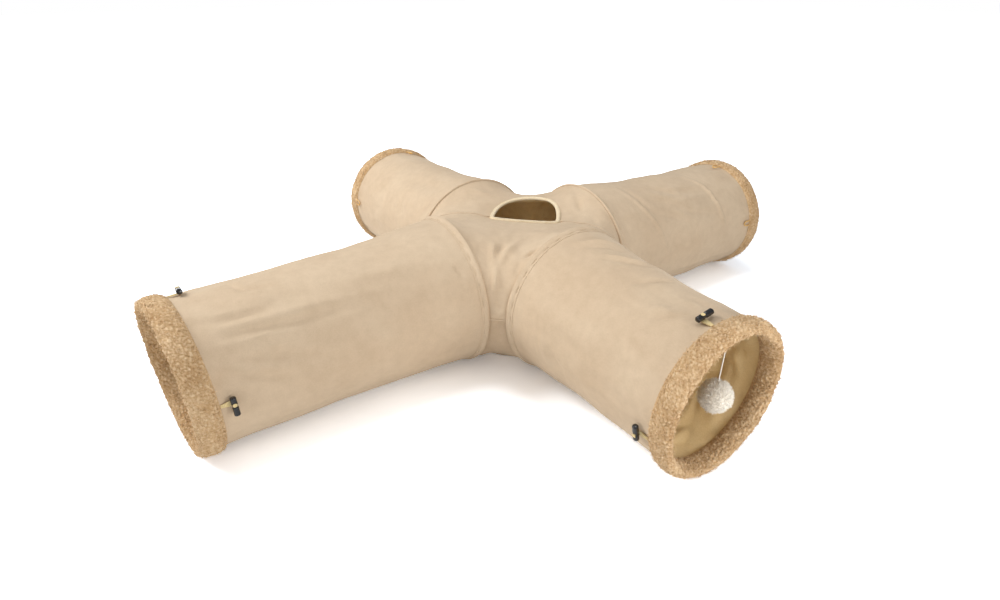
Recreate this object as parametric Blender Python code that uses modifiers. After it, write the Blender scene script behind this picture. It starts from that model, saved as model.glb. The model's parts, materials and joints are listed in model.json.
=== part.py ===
"""Four-way fabric cat tunnel: four coil-spring legs that cross at a hub with a D-shaped entry hole.

Run with: blender --background --python part.py
Metres, +Z up. The origin is on the floor under the middle of the hub, and the legs lie along X and Y.
"""

import math

import bmesh
import bpy
from mathutils import Matrix, Vector

# Legs, by the direction that each one points in, in quarter turns from +X
QUARTER_TURNS = {"rear_right": 0, "rear_left": 1, "front_left": 2, "front_right": 3}
REACH = {
    "front_left": 0.630,
    "front_right": 0.499,
    "rear_right": 0.609,
    "rear_left": 0.558,
}
TOGGLE_LEGS = ("front_left", "front_right")
LOOP_LEGS = ("rear_right", "rear_left")
POMPOM_LEG = "front_right"

# Plush roll round each mouth
RIM_RADIUS = 0.125
ROLL_THICKNESS = 0.020
ROLL_WIDTH = 0.038
SLEEVE_TUCK = 0.012
ROLL_ANGLES = (118, 90, 50, 0, -50, -90, -135)

# Leg skin, from the hub hoop to the roll. It widens from the roll to the knee, and again to the hub.
ROLL_STEP = 0.007
KNEE_FLARE = 0.0035
HUB_FLARE = 0.015
KNEE_SHARE = 0.4
SUEDE_THICKNESS = 0.0014
LINING_THICKNESS = 0.0010
BAND_WIDTH = 0.014
BAND_THICKNESS = 0.0014

# How far a leg's mouth is turned aside, as the slope of its plane across the leg
MOUTH_LEAN = {"front_left": -0.12}

# Spring wire
WIRE_DIAMETER = 0.0024
COIL_TURNS = 2.5
COIL_END_GAP = 0.010
HOOP_INSET = 0.005

# Hub. Its corners lie between the hoops of two neighbouring legs.
HUB_CORNER = 0.021
HUB_SEAM_GAP = 0.0005
FLOOR_PATCH_INSET = 0.042
LAYER_SPACING = 0.0062
LINING_SLACK = 0.003

# Entry hole, measured to the middle of its binding
HOLE_WIDTH = 0.126
HOLE_DEPTH = 0.088
HOLE_BOW = 0.009
HOLE_SHIFT = 0.012
HOLE_FRONT_SAG = 0.0317
HOLE_REAR_SAG = 0.0197
HOLE_POWER = 2.4
BINDING_RADIUS = 0.0042
BINDING_CLEARANCE = 0.0009

# Toggles and their elastic tabs
TOGGLE_LENGTH = 0.029
TOGGLE_RADIUS = 0.0042
TOGGLE_WAIST_RADIUS = 0.0034
TOGGLE_EYE_RADIUS = 0.0023
TOGGLE_EYE_OFFSET = 0.0035
TOGGLE_ROUNDING = 0.0012
TAB_WIDTH = 0.008
TAB_THICKNESS = 0.0016
TAB_LENGTH = 0.021
TAB_EYE_DISTANCE = 0.017
TAB_POST_RADIUS = 0.0019
TAB_KNOT_RADIUS = 0.0032
TAB_KNOT_HEIGHT = 0.0016
TAB_SEAT = 0.001
CLOSURE_ANGLES = {
    "front_left": {"top": 105, "left": 184, "right": 4},
    "front_right": {"top": 100, "left": 194, "right": -6},
    "rear_right": {"top": 95, "left": 173, "right": -7},
    "rear_left": {"top": 105, "left": 187, "right": 7},
}

# Elastic loops
LOOP_CORD_RADIUS = 0.0015
LOOP_HALF_WIDTH = 0.005
LOOP_LENGTH = 0.018

# Pompom
POMPOM_RADIUS = 0.0255
POMPOM_CORD_DIAMETER = 0.0015
POMPOM_CORD_LENGTH = 0.068
POMPOM_ANGLE = 95

CLEARANCE = 0.0003
OVERRUN = 0.002
ROUND_STEPS = 32
COIL_STEPS = 20
SKIN_ROWS = 8
HUB_LINING_ROWS = 4
SPOKE_STEPS = 2
INNER_STEPS = 6
CLOTH_ROUNDS = 120
BINDING_STEPS = 40
TOGGLE_STEPS = 10
EYE_STEPS = 8
LOOP_STEPS = 8
CORD_STEPS = 15

SKIN_TO_LINING = SUEDE_THICKNESS + LAYER_SPACING
SLEEVE_END_RADIUS = RIM_RADIUS - ROLL_STEP
KNEE_RADIUS = SLEEVE_END_RADIUS + KNEE_FLARE
HUB_RADIUS = SLEEVE_END_RADIUS + HUB_FLARE
HUB_HEIGHT = HUB_RADIUS + CLEARANCE + BAND_THICKNESS
HUB_HALF_WIDTH = HUB_RADIUS + HUB_CORNER
FLOOR_PATCH_RADIUS = HUB_HALF_WIDTH - FLOOR_PATCH_INSET


def linear(red, green, blue):
    """A colour given as 0 to 255 sRGB, in Blender's linear values."""
    shares = [value / 255 for value in (red, green, blue)]
    return [c / 12.92 if c < 0.04045 else ((c + 0.055) / 1.055) ** 2.4 for c in shares]


def material(name, colour, roughness, metallic=0.0):
    made = bpy.data.materials.new(name)
    made.use_nodes = True
    shader = made.node_tree.nodes["Principled BSDF"]
    shader.inputs["Base Color"].default_value = (*linear(*colour), 1)
    shader.inputs["Roughness"].default_value = roughness
    shader.inputs["Metallic"].default_value = metallic
    made.diffuse_color = (*linear(*colour), 1)
    return made


def clear_scene():
    for old in list(bpy.data.objects):
        bpy.data.objects.remove(old, do_unlink=True)


def collection(name, hidden=False):
    made = bpy.data.collections.new(name)
    bpy.context.scene.collection.children.link(made)
    made.hide_render = hidden
    return made


def add(name, data, parent, paint):
    """A new object of the tunnel, at the origin of its parent."""
    made = bpy.data.objects.new(name, data)
    TUNNEL.objects.link(made)
    made.parent = parent
    if paint is not None:
        data.materials.append(paint)
    return made


def empty(name, parent, matrix):
    made = bpy.data.objects.new(name, None)
    TUNNEL.objects.link(made)
    made.parent = parent
    made.empty_display_size = ROLL_WIDTH
    made.matrix_local = matrix
    return made


def mesh_of(name, bm, smooth_angle=40):
    """The finished bmesh as a mesh, shaded smooth up to an angle in degrees."""
    mesh = bpy.data.meshes.new(name)
    bm.to_mesh(mesh)
    bm.free()
    mesh.shade_smooth()
    mesh.set_sharp_from_angle(angle=math.radians(smooth_angle))
    return mesh


def solidify(obj, thickness):
    """A wall that grows from the modelled skin towards its inside."""
    wall = obj.modifiers.new("wall", "SOLIDIFY")
    wall.thickness = thickness
    wall.offset = -1
    return obj


def spun_shut(bm, axis, steps):
    """Turns the profile in bm once round an axis through the origin, as a closed surface."""
    bmesh.ops.spin(
        bm,
        geom=bm.verts[:] + bm.edges[:],
        cent=(0, 0, 0),
        axis=axis,
        angle=math.tau,
        steps=steps,
        use_merge=True,
    )
    bmesh.ops.remove_doubles(bm, verts=bm.verts, dist=CLEARANCE / 10)
    bmesh.ops.recalc_face_normals(bm, faces=bm.faces)


def wire_curve(name, points, radius, cyclic=False, resolution=1):
    """A tube along a polyline."""
    curve = bpy.data.curves.new(name, "CURVE")
    curve.dimensions = "3D"
    curve.bevel_depth = radius
    curve.bevel_resolution = resolution
    curve.use_fill_caps = not cyclic
    line = curve.splines.new("POLY")
    line.points.add(len(points) - 1)
    for point, place in zip(line.points, points):
        point.co = (*place, 1)
    line.use_cyclic_u = cyclic
    line.use_smooth = True
    return curve


def blend(low, high, share):
    return low + (high - low) * share


# Leg geometry, in a leg's own frame: X out along the leg from the hub's middle, Z up from the floor


def sleeve_end(leg):
    return REACH[leg] - ROLL_WIDTH + SLEEVE_TUCK


def knee(leg):
    return blend(HUB_HALF_WIDTH, sleeve_end(leg), KNEE_SHARE)


def skin_radius(leg, along):
    """Outer radius of the sleeve: a cone from the hub to the knee, and a slimmer one to the roll."""
    if along < knee(leg):
        share = (along - HUB_HALF_WIDTH) / (knee(leg) - HUB_HALF_WIDTH)
        return blend(HUB_RADIUS, KNEE_RADIUS, share)
    share = (along - knee(leg)) / (sleeve_end(leg) - knee(leg))
    return blend(KNEE_RADIUS, SLEEVE_END_RADIUS, share)


def axis_height(leg, along):
    """The leg's middle drops from the hub hoop's centre to the roll's centre."""
    share = (along - HUB_HALF_WIDTH) / (sleeve_end(leg) - HUB_HALF_WIDTH)
    return blend(HUB_HEIGHT, RIM_RADIUS, share)


def leaned(leg, place):
    """A point of a straight leg as it lies in the real one: beyond the knee it is sheared to its mouth."""
    share = (place[0] - knee(leg)) / (REACH[leg] - ROLL_WIDTH - knee(leg))
    slope = MOUTH_LEAN.get(leg, 0) * min(max(share, 0), 1)
    return Vector((place[0] + slope * place[1], place[1], place[2]))


def on_leg(leg, along, angle, depth):
    """The point at an angle round the leg, at a depth under the skin."""
    radius = skin_radius(leg, along) - depth
    height = axis_height(leg, along)
    return leaned(leg, (along, radius * math.cos(angle), height + radius * math.sin(angle)))


def fabric_tube(name, leg, start, end, depth, thickness, paint):
    """A length of the leg's skin, at a depth under it, as a closed wall of fabric."""
    bm = bmesh.new()
    bmesh.ops.create_cone(bm, segments=ROUND_STEPS, radius1=1, radius2=1, depth=1)
    if start < knee(leg) < end:
        cut = (knee(leg) - start) / (end - start) - 1 / 2
        shape = bm.verts[:] + bm.edges[:] + bm.faces[:]
        bmesh.ops.bisect_plane(bm, geom=shape, plane_co=(0, 0, cut), plane_no=(0, 0, 1))
    for vert in bm.verts:
        along = blend(start, end, vert.co.z + 1 / 2)
        angle = math.atan2(vert.co.y, vert.co.x)
        vert.co = on_leg(leg, along, angle, depth)
    return solidify(add(name, mesh_of(name, bm), LEG[leg], paint), thickness)


def least_gap(points, diameter):
    """The narrowest space between stretches of one wire, measured on points over half a turn apart."""
    nearest = math.inf
    for first, place in enumerate(points):
        for other in points[first + COIL_STEPS // 2 :]:
            nearest = min(nearest, (place - other).length)
    return nearest - diameter


def wire_depth():
    """Depth of the wire's centre under the skin: it stays clear of the sleeve where both are faceted."""
    facet_drop = HUB_RADIUS * (1 - math.cos(math.pi / ROUND_STEPS))
    return SUEDE_THICKNESS + facet_drop + CLEARANCE + WIRE_DIAMETER / 2


def coil(leg):
    """The spring wire, one unbroken helix between sleeve and lining."""
    start = HUB_HALF_WIDTH + HOOP_INSET + COIL_END_GAP
    end = REACH[leg] - ROLL_WIDTH - COIL_END_GAP
    steps = round(COIL_TURNS * COIL_STEPS)
    points = []
    for step in range(steps + 1):
        along = blend(start, end, step / steps)
        points.append(on_leg(leg, along, math.tau * step / COIL_STEPS, wire_depth()))
    name = f"{leg}_coil"
    print(f"{name}: least gap {least_gap(points, WIRE_DIAMETER) * 1000:.1f} mm")
    wire = wire_curve(name, points, WIRE_DIAMETER / 2, resolution=0)
    return add(name, wire, LEG[leg], STEEL)


def hoop(name, leg, along, radius, height, parent_place):
    """A closed ring of wire across the leg."""
    steps = range(COIL_STEPS)
    angles = [math.tau * step / COIL_STEPS for step in steps]
    centre = Vector((along, 0, height))
    points = [centre + radius * Vector((0, math.cos(a), math.sin(a))) for a in angles]
    points = [leaned(leg, point) - Vector(parent_place) for point in points]
    return wire_curve(name, points, WIRE_DIAMETER / 2, cyclic=True, resolution=0)


def hub_hoop(leg):
    name = f"{leg}_hub_hoop"
    along = HUB_HALF_WIDTH + HOOP_INSET
    radius = skin_radius(leg, along) - wire_depth()
    ring = hoop(name, leg, along, radius, axis_height(leg, along), (0, 0, 0))
    return add(name, ring, LEG[leg], STEEL)


def roll_profile(leg):
    """Section of the plush roll: an oval with a groove in its back for the hoop and both layers of the leg.

    Points are (radius, distance along the leg from the roll's middle).
    """
    middle_radius = RIM_RADIUS - ROLL_THICKNESS / 2
    groove_top = SLEEVE_END_RADIUS + 2 * CLEARANCE
    groove_foot = SLEEVE_END_RADIUS - SKIN_TO_LINING - LINING_THICKNESS - 2 * CLEARANCE
    groove_end = SLEEVE_TUCK + WIRE_DIAMETER + 3 * CLEARANCE - ROLL_WIDTH / 2
    upper_lip = math.pi - math.asin((groove_top - middle_radius) / (ROLL_THICKNESS / 2))
    lower_lip = -math.pi - math.asin((groove_foot - middle_radius) / (ROLL_THICKNESS / 2))
    angles = [upper_lip] + [math.radians(a) for a in ROLL_ANGLES] + [lower_lip]
    section = []
    for angle in angles:
        radius = middle_radius + ROLL_THICKNESS / 2 * math.sin(angle)
        section.append((radius, ROLL_WIDTH / 2 * math.cos(angle)))
    section.append((groove_foot, groove_end))
    section.append((groove_top, groove_end))
    return section[::-1]


def plush_rim(leg):
    """The roll, turned about the leg's axis and then leaned with the leg's mouth."""
    name = f"{leg}_plush_rim"
    bm = bmesh.new()
    corners = [bm.verts.new((along, 0, -radius)) for radius, along in roll_profile(leg)]
    for first, second in zip(corners, corners[1:] + corners[:1]):
        bm.edges.new((first, second))
    spun_shut(bm, (1, 0, 0), ROUND_STEPS)
    middle = Vector(rim_place(leg))
    for vert in bm.verts:
        vert.co = leaned(leg, vert.co + middle) - middle
    return add(name, mesh_of(name, bm), RIM[leg], PLUSH)


def rim_hoop(leg):
    name = f"{leg}_rim_hoop"
    along = sleeve_end(leg) + CLEARANCE + WIRE_DIAMETER / 2
    radius = SLEEVE_END_RADIUS - wire_depth()
    ring = hoop(name, leg, along, radius, RIM_RADIUS, rim_place(leg))
    return add(name, ring, RIM[leg], STEEL)


def rim_place(leg):
    """Centre of the plush roll, in the leg's frame."""
    return (REACH[leg] - ROLL_WIDTH / 2, 0, RIM_RADIUS)


# Hub, in the tunnel's frame. Its skin is cloth drawn tight between the hoops, the side seams and an inner
# edge, which is the entry hole at the top and the floor patch at the base. It is built as four patches.
# Each patch spans from one leg's hoop to the next, in rows that climb from the side seam.


def hoop_point(quarter, angle, side, lift):
    """A point of a leg's hub hoop, by its angle from the side that faces the leg before."""
    height = side * (lift + (HUB_RADIUS - lift) * math.sin(angle))
    point = Vector((HUB_HALF_WIDTH, -HUB_RADIUS * math.cos(angle), HUB_HEIGHT + height))
    return Matrix.Rotation(quarter * math.pi / 2, 3, "Z") @ point


def signed_power(value, power):
    return math.copysign(abs(value) ** power, value)


def hole_point(angle, spread):
    """A point of the D-shaped outline, spread outwards: straight along the top seam, domed to the rear."""
    turn = (math.cos(angle), math.sin(angle))
    sizes = (HOLE_WIDTH / 2, HOLE_DEPTH if turn[1] > 0 else HOLE_BOW)
    power = 2 / HOLE_POWER
    outline = Vector([size * signed_power(c, power) for size, c in zip(sizes, turn)])
    outward = Vector([signed_power(c, 2 - power) / size for size, c in zip(sizes, turn)])
    along, across = outline + outward.normalized() * spread
    slope = (HOLE_FRONT_SAG - HOLE_REAR_SAG) / HOLE_DEPTH
    height = HUB_HEIGHT + HUB_RADIUS - HOLE_FRONT_SAG + slope * max(across, 0)
    return SEAM_WAY * (HOLE_SHIFT + along) + REAR_WAY * across + Vector((0, 0, height))


def inner_point(angle, side):
    """A point of the skin's inner edge, by its angle from the top seam."""
    if side > 0:
        return hole_point(angle, BINDING_RADIUS + BINDING_CLEARANCE)
    return Matrix.Rotation(angle, 3, "Z") @ (SEAM_WAY * FLOOR_PATCH_RADIUS)


def row_of(bm, start, end, steps):
    return [bm.verts.new(start.lerp(end, step / steps)) for step in range(steps + 1)]


def patch_rows(bm, side, rows, lift):
    """(spokes, patches): a line of vertices from each hoop to the inner edge, and the rows between legs."""
    quarter_turn = math.pi / 2
    spokes = []
    for quarter in range(4):
        hoop_end = hoop_point(quarter, quarter_turn, side, lift)
        inner_end = inner_point((quarter + 1 / 2) * quarter_turn, side)
        spokes.append(row_of(bm, hoop_end, inner_end, SPOKE_STEPS))
    patches = []
    for quarter in range(4):
        patch = []
        for row in range(rows):
            angle = quarter_turn * row / rows
            start = hoop_point(quarter - 1, math.pi - angle, side, lift)
            end = hoop_point(quarter, angle, side, lift)
            patch.append(row_of(bm, start, end, 2 * SPOKE_STEPS + INNER_STEPS))
        angles = [(quarter - 1 / 2 + i / INNER_STEPS) * quarter_turn for i in range(1, INNER_STEPS)]
        inner = [bm.verts.new(inner_point(angle, side)) for angle in angles]
        patches.append(patch + [spokes[quarter - 1] + inner + spokes[quarter][::-1]])
    return spokes, patches


def draw_tight(spokes, patches):
    """Moves each free vertex to where its two threads balance, over and over."""
    threads = []
    for patch in patches:
        for below, row, above in zip(patch, patch[1:], patch[2:]):
            for i in range(1, len(row) - 1):
                threads.append((row[i], (row[i - 1], row[i + 1]), (below[i], above[i])))
    for quarter, spoke in enumerate(spokes):
        before, after = patches[quarter][-2], patches[(quarter + 1) % 4][-2]
        for i in range(1, SPOKE_STEPS):
            threads.append((spoke[i], (spoke[i - 1], spoke[i + 1]), (before[-1 - i], after[i])))
    seam = {patch_row[len(patch_row) // 2] for patch in patches[::2] for patch_row in patch}
    for _ in range(CLOTH_ROUNDS):
        for vert, along, across in threads:
            spans = [sum((end.co - vert.co).length for end in ends) for ends in (along, across)]
            pull = spans[1] / spans[0]
            total = (along[0].co + along[1].co) * pull + (across[0].co + across[1].co) / pull
            vert.co = total / (2 * (pull + 1 / pull))
            if vert in seam:
                vert.co -= REAR_WAY * vert.co.dot(REAR_WAY)


def hub_skin(bm, side, rows, lift):
    """Half of the skin in a bmesh, side 1 for the top and -1 for the base. Gives the rows of its patches."""
    spokes, patches = patch_rows(bm, side, rows, lift)
    draw_tight(spokes, patches)
    for patch in patches:
        for row, above in zip(patch, patch[1:]):
            for i in range(len(row) - 1):
                bm.faces.new((row[i], row[i + 1], above[i + 1], above[i])[::side])
    return patches


def inner_loop(patches):
    """The vertices round the skin's inner edge."""
    last = SPOKE_STEPS + INNER_STEPS
    return [vert for patch in patches for vert in patch[-1][SPOKE_STEPS:last]]


def inward_way(vert):
    """The way into the hub from a vertex of its skin. On a border it stays in the plane of the seam."""
    way = -vert.normal
    if vert.is_boundary:
        planes = (
            (Vector((1, 0, 0)), abs(vert.co.x) - HUB_HALF_WIDTH),
            (Vector((0, 1, 0)), abs(vert.co.y) - HUB_HALF_WIDTH),
            (Vector((0, 0, 1)), vert.co.z - HUB_HEIGHT),
            (REAR_WAY, vert.co.dot(REAR_WAY)),
        )
        for axis, distance in planes:
            if abs(distance) < 2 * CLEARANCE:
                way -= axis * way.dot(axis)
    return way.normalized()


def thickened(name, bm, thickness, paint):
    """The skin in a bmesh as a closed wall of fabric that grows inwards."""
    bm.normal_update()
    skin = list(bm.faces)
    border = [edge for edge in bm.edges if edge.is_boundary]
    places = {vert: vert.co + inward_way(vert) * thickness for vert in bm.verts}
    backs = {vert: bm.verts.new(place) for vert, place in places.items()}
    for face in skin:
        bm.faces.new([backs[vert] for vert in reversed(face.verts)])
    for edge in border:
        first, second = edge.verts
        bm.faces.new((first, second, backs[second], backs[first]))
    bmesh.ops.recalc_face_normals(bm, faces=bm.faces)
    return add(name, mesh_of(name, bm), HUB, paint)


def top_panel(name, way):
    """The half of the hub's top that lies on one side of the top seam."""
    bm = bmesh.new()
    hub_skin(bm, 1, SKIN_ROWS, CLEARANCE / 2)
    others = [face for face in bm.faces if face.calc_center_median().dot(way) < 0]
    bmesh.ops.delete(bm, geom=others, context="FACES")
    for vert in bm.verts:
        if vert.co.dot(way) < CLEARANCE:
            vert.co += way * CLEARANCE
    return thickened(name, bm, SUEDE_THICKNESS, SUEDE)


def base_panel():
    """The hub's lower half, with a flat patch that lies on the floor."""
    bm = bmesh.new()
    patches = hub_skin(bm, -1, SKIN_ROWS, CLEARANCE / 2)
    bm.faces.new(inner_loop(patches)[::-1])
    return thickened("hub_base_panel", bm, SUEDE_THICKNESS, SUEDE)


def hub_lining():
    """The inner layer, top and base joined along the side seams. It hangs a little slack."""
    bm = bmesh.new()
    top = hub_skin(bm, 1, HUB_LINING_ROWS, 0)
    base = hub_skin(bm, -1, HUB_LINING_ROWS, 0)
    hole = inner_loop(top)
    bm.faces.new(inner_loop(base)[::-1])
    bmesh.ops.remove_doubles(bm, verts=bm.verts, dist=CLEARANCE / 10)
    bm.normal_update()
    for vert in bm.verts:
        slack = 0 if vert.is_boundary else LINING_SLACK
        vert.co += inward_way(vert) * (SKIN_TO_LINING + slack)
    drop = Vector((0, 0, BINDING_RADIUS + BINDING_CLEARANCE))
    for i, vert in enumerate(hole):
        angle = math.tau * i / len(hole) - math.pi / 4
        vert.co = hole_point(angle, 0) - drop
    return thickened("hub_lining", bm, LINING_THICKNESS, LINING)


def entry_binding():
    """Tape folded over the edge of the hole, as a soft round band."""
    name = "entry_binding"
    angles = [math.tau * i / BINDING_STEPS for i in range(BINDING_STEPS)]
    points = [hole_point(angle, 0) for angle in angles]
    return add(name, wire_curve(name, points, BINDING_RADIUS, cyclic=True), HUB, BINDING)


# Closures, in the frame of their stitch line: X towards the hub, Y round the leg, Z away from the skin.
# The origin is on the outer face of the tab or loop, which it folds back over.


def stitch_frame(leg, angle, thickness):
    """Where a tab or loop is sewn in beside the roll, in the roll's frame, by degrees round the mouth."""
    along = REACH[leg] - ROLL_WIDTH + TAB_SEAT
    turn = math.radians(angle)
    foot = on_leg(leg, along, turn, -CLEARANCE)
    inward = (on_leg(leg, along - TAB_LENGTH, turn, -CLEARANCE) - foot).normalized()
    sideways = Vector((0, math.cos(turn), math.sin(turn))).cross(inward).normalized()
    outward = inward.cross(sideways)
    frame = Matrix((inward, sideways, outward)).transposed().to_4x4()
    frame.translation = foot + outward * thickness - Vector(rim_place(leg))
    return frame


def box(bm, low, high):
    size = [b - a for a, b in zip(low, high)]
    middle = [(a + b) / 2 for a, b in zip(low, high)]
    made = bmesh.ops.create_cube(bm, size=1)
    bmesh.ops.scale(bm, vec=size, verts=made["verts"])
    bmesh.ops.translate(bm, vec=middle, verts=made["verts"])


def cylinder_object(name, radius, low, high, place, steps):
    """A hidden upright cylinder that a modifier joins or cuts with."""
    bm = bmesh.new()
    height = high - low
    bmesh.ops.create_cone(
        bm, cap_ends=True, segments=steps, radius1=radius, radius2=radius, depth=height
    )
    bmesh.ops.translate(bm, vec=(*place, low + height / 2), verts=bm.verts)
    made = bpy.data.objects.new(name, mesh_of(name, bm))
    CUTTERS.objects.link(made)
    made.hide_render = True
    made.display_type = "WIRE"
    return made


def baked(name, base_mesh, tools):
    """The base mesh after a list of (operation, helper) Booleans, as one plain mesh."""
    worker = bpy.data.objects.new(name, base_mesh)
    CUTTERS.objects.link(worker)
    worker.hide_render = True
    for operation, helper in tools:
        step = worker.modifiers.new(helper.name, "BOOLEAN")
        step.operation = operation
        step.object = helper
    bpy.context.view_layer.update()
    graph = bpy.context.evaluated_depsgraph_get()
    made = bpy.data.meshes.new_from_object(worker.evaluated_get(graph))
    made.name = name
    bpy.data.objects.remove(worker)
    made.shade_smooth()
    made.set_sharp_from_angle(angle=math.radians(40))
    return made


def toggle_height():
    """Height of the toggle's centre line over the stitch line."""
    return CLEARANCE + TOGGLE_RADIUS


def tab_mesh():
    """Elastic tab with the knotted end that holds the toggle."""
    bm = bmesh.new()
    box(bm, (0, -TAB_WIDTH / 2, -TAB_THICKNESS), (TAB_LENGTH, TAB_WIDTH / 2, 0))
    strap = mesh_of("tab_strap", bm)
    place = (TAB_EYE_DISTANCE, 0)
    top = toggle_height() + TOGGLE_RADIUS + CLEARANCE
    post_foot = -TAB_THICKNESS / 2
    post_top = top + TAB_KNOT_HEIGHT / 2
    knot_top = top + TAB_KNOT_HEIGHT
    post = cylinder_object("tab_post", TAB_POST_RADIUS, post_foot, post_top, place, EYE_STEPS)
    knot = cylinder_object("tab_knot", TAB_KNOT_RADIUS, top, knot_top, place, EYE_STEPS)
    return baked("toggle_tab", strap, [("UNION", post), ("UNION", knot)])


def toggle_mesh():
    """Plastic bar, turned with a slim waist, with an eye off its middle. Its origin is the eye."""
    half = TOGGLE_LENGTH / 2
    tip_radius = TOGGLE_RADIUS - TOGGLE_ROUNDING
    profile = [
        (0, half),
        (tip_radius, half),
        (TOGGLE_RADIUS, half - TOGGLE_ROUNDING),
        (TOGGLE_RADIUS, TOGGLE_EYE_OFFSET + TAB_POST_RADIUS),
        (TOGGLE_WAIST_RADIUS, -TOGGLE_EYE_OFFSET),
        (TOGGLE_RADIUS, -half + TOGGLE_ROUNDING),
        (tip_radius, -half),
        (0, -half),
    ]
    bm = bmesh.new()
    corners = [bm.verts.new((radius, 0, along)) for radius, along in profile]
    for first, second in zip(corners, corners[1:]):
        bm.edges.new((first, second))
    spun_shut(bm, (0, 0, 1), TOGGLE_STEPS)
    lay = Matrix.Rotation(-math.pi / 2, 3, "X")
    bmesh.ops.transform(bm, matrix=lay.to_4x4(), verts=bm.verts)
    shift = Vector((0, -TOGGLE_EYE_OFFSET, 0))
    bmesh.ops.translate(bm, vec=shift, verts=bm.verts)
    bar = mesh_of("toggle_bar", bm)
    reach = TOGGLE_RADIUS + OVERRUN
    eye = cylinder_object("toggle_eye", TOGGLE_EYE_RADIUS, -reach, reach, (0, 0), EYE_STEPS)
    return baked("toggle", bar, [("DIFFERENCE", eye)])


def loop_curve():
    """Elastic cord that comes out of the seam, turns back and goes in again."""
    points = [Vector((0, -LOOP_HALF_WIDTH, -LOOP_CORD_RADIUS))]
    bend_start = LOOP_LENGTH - LOOP_HALF_WIDTH
    for step in range(LOOP_STEPS + 1):
        angle = math.pi * step / LOOP_STEPS - math.pi / 2
        along = bend_start + LOOP_HALF_WIDTH * math.cos(angle)
        points.append(Vector((along, LOOP_HALF_WIDTH * math.sin(angle), -LOOP_CORD_RADIUS)))
    points.append(Vector((0, LOOP_HALF_WIDTH, -LOOP_CORD_RADIUS)))
    return wire_curve("loop", points, LOOP_CORD_RADIUS)


def closures():
    tab, toggle, loop = tab_mesh(), toggle_mesh(), loop_curve()
    tab.materials.append(ELASTIC)
    toggle.materials.append(BLACK_PLASTIC)
    loop.materials.append(ELASTIC)
    for leg in TOGGLE_LEGS:
        for side, angle in CLOSURE_ANGLES[leg].items():
            frame = stitch_frame(leg, angle, TAB_THICKNESS)
            stitch = empty(f"{leg}_{side}_stitch", RIM[leg], frame)
            add(f"{leg}_{side}_toggle_tab", tab, stitch, None)
            eye = Matrix.Translation((TAB_EYE_DISTANCE, 0, toggle_height()))
            pivot = empty(f"{leg}_{side}_eye", stitch, eye)
            add(f"{leg}_{side}_toggle", toggle, pivot, None)
    for leg in LOOP_LEGS:
        for side, angle in CLOSURE_ANGLES[leg].items():
            frame = stitch_frame(leg, angle, 2 * LOOP_CORD_RADIUS)
            stitch = empty(f"{leg}_{side}_stitch", RIM[leg], frame)
            add(f"{leg}_{side}_loop", loop, stitch, None)


def pompom():
    """The toy: a cord sewn to the inside of the roll, and the pompom at its end."""
    turn = math.radians(POMPOM_ANGLE)
    swing_room = POMPOM_CORD_DIAMETER / 2 + 2 * CLEARANCE
    under_roll = RIM_RADIUS - ROLL_THICKNESS - swing_room
    sewn_at = under_roll * Vector((0, math.cos(turn), math.sin(turn)))
    anchor = empty("pompom_anchor", RIM[POMPOM_LEG], Matrix.Translation(sewn_at))
    drops = [POMPOM_CORD_LENGTH * step / CORD_STEPS for step in range(CORD_STEPS + 1)]
    points = [Vector((0, 0, -drop)) for drop in drops]
    curve = wire_curve("pompom_cord", points, POMPOM_CORD_DIAMETER / 2, resolution=2)
    add("pompom_cord", curve, anchor, CORD)
    bm = bmesh.new()
    bmesh.ops.create_icosphere(bm, subdivisions=3, radius=POMPOM_RADIUS)
    ball = add("pompom", mesh_of("pompom", bm, 80), anchor, POMPOM)
    ball.location = (0, 0, -POMPOM_CORD_LENGTH - CLEARANCE - POMPOM_RADIUS)


def build_leg(leg):
    start = HUB_HALF_WIDTH + HUB_SEAM_GAP
    end = sleeve_end(leg)
    band_end = HUB_HALF_WIDTH + BAND_WIDTH
    band_depth = -CLEARANCE - BAND_THICKNESS
    fabric_tube(f"{leg}_sleeve", leg, start, end, 0, SUEDE_THICKNESS, SUEDE)
    fabric_tube(f"{leg}_lining", leg, start, end, SKIN_TO_LINING, LINING_THICKNESS, LINING)
    fabric_tube(
        f"{leg}_junction_band", leg, start, band_end, band_depth, BAND_THICKNESS, SUEDE
    )
    coil(leg)
    hub_hoop(leg)
    plush_rim(leg)
    rim_hoop(leg)


clear_scene()
TUNNEL = collection("cat_tunnel")
CUTTERS = collection("cutters", hidden=True)

SUEDE = material("suede", (214, 190, 160), 0.95)
PLUSH = material("plush", (205, 170, 125), 1.0)
LINING = material("lining", (190, 160, 108), 0.8)
BINDING = material("binding", (250, 232, 200), 0.8)
ELASTIC = material("elastic", (245, 225, 170), 0.8)
BLACK_PLASTIC = material("black_plastic", (18, 18, 20), 0.25)
STEEL = material("steel", (150, 150, 155), 0.35, 1.0)
CORD = material("cord", (235, 232, 225), 0.8)
POMPOM = material("pompom", (235, 225, 210), 1.0)

# The top seam runs across the hub's diagonal, and the hole opens to the rear of it
SEAM_WAY = Vector((1, -1, 0)).normalized()
REAR_WAY = Vector((1, 1, 0)).normalized()

HUB = empty("hub", None, Matrix.Identity(4))
LEG = {}
RIM = {}
for leg_name, quarters in QUARTER_TURNS.items():
    facing = Matrix.Rotation(quarters * math.pi / 2, 4, "Z")
    LEG[leg_name] = empty(f"{leg_name}_leg", HUB, facing)
    seat = Matrix.Translation(rim_place(leg_name))
    RIM[leg_name] = empty(f"{leg_name}_rim", LEG[leg_name], seat)

top_panel("hub_front_panel", -REAR_WAY)
top_panel("hub_rear_panel", REAR_WAY)
base_panel()
hub_lining()
entry_binding()
for leg_name in QUARTER_TURNS:
    build_leg(leg_name)
closures()
pompom()
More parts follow.
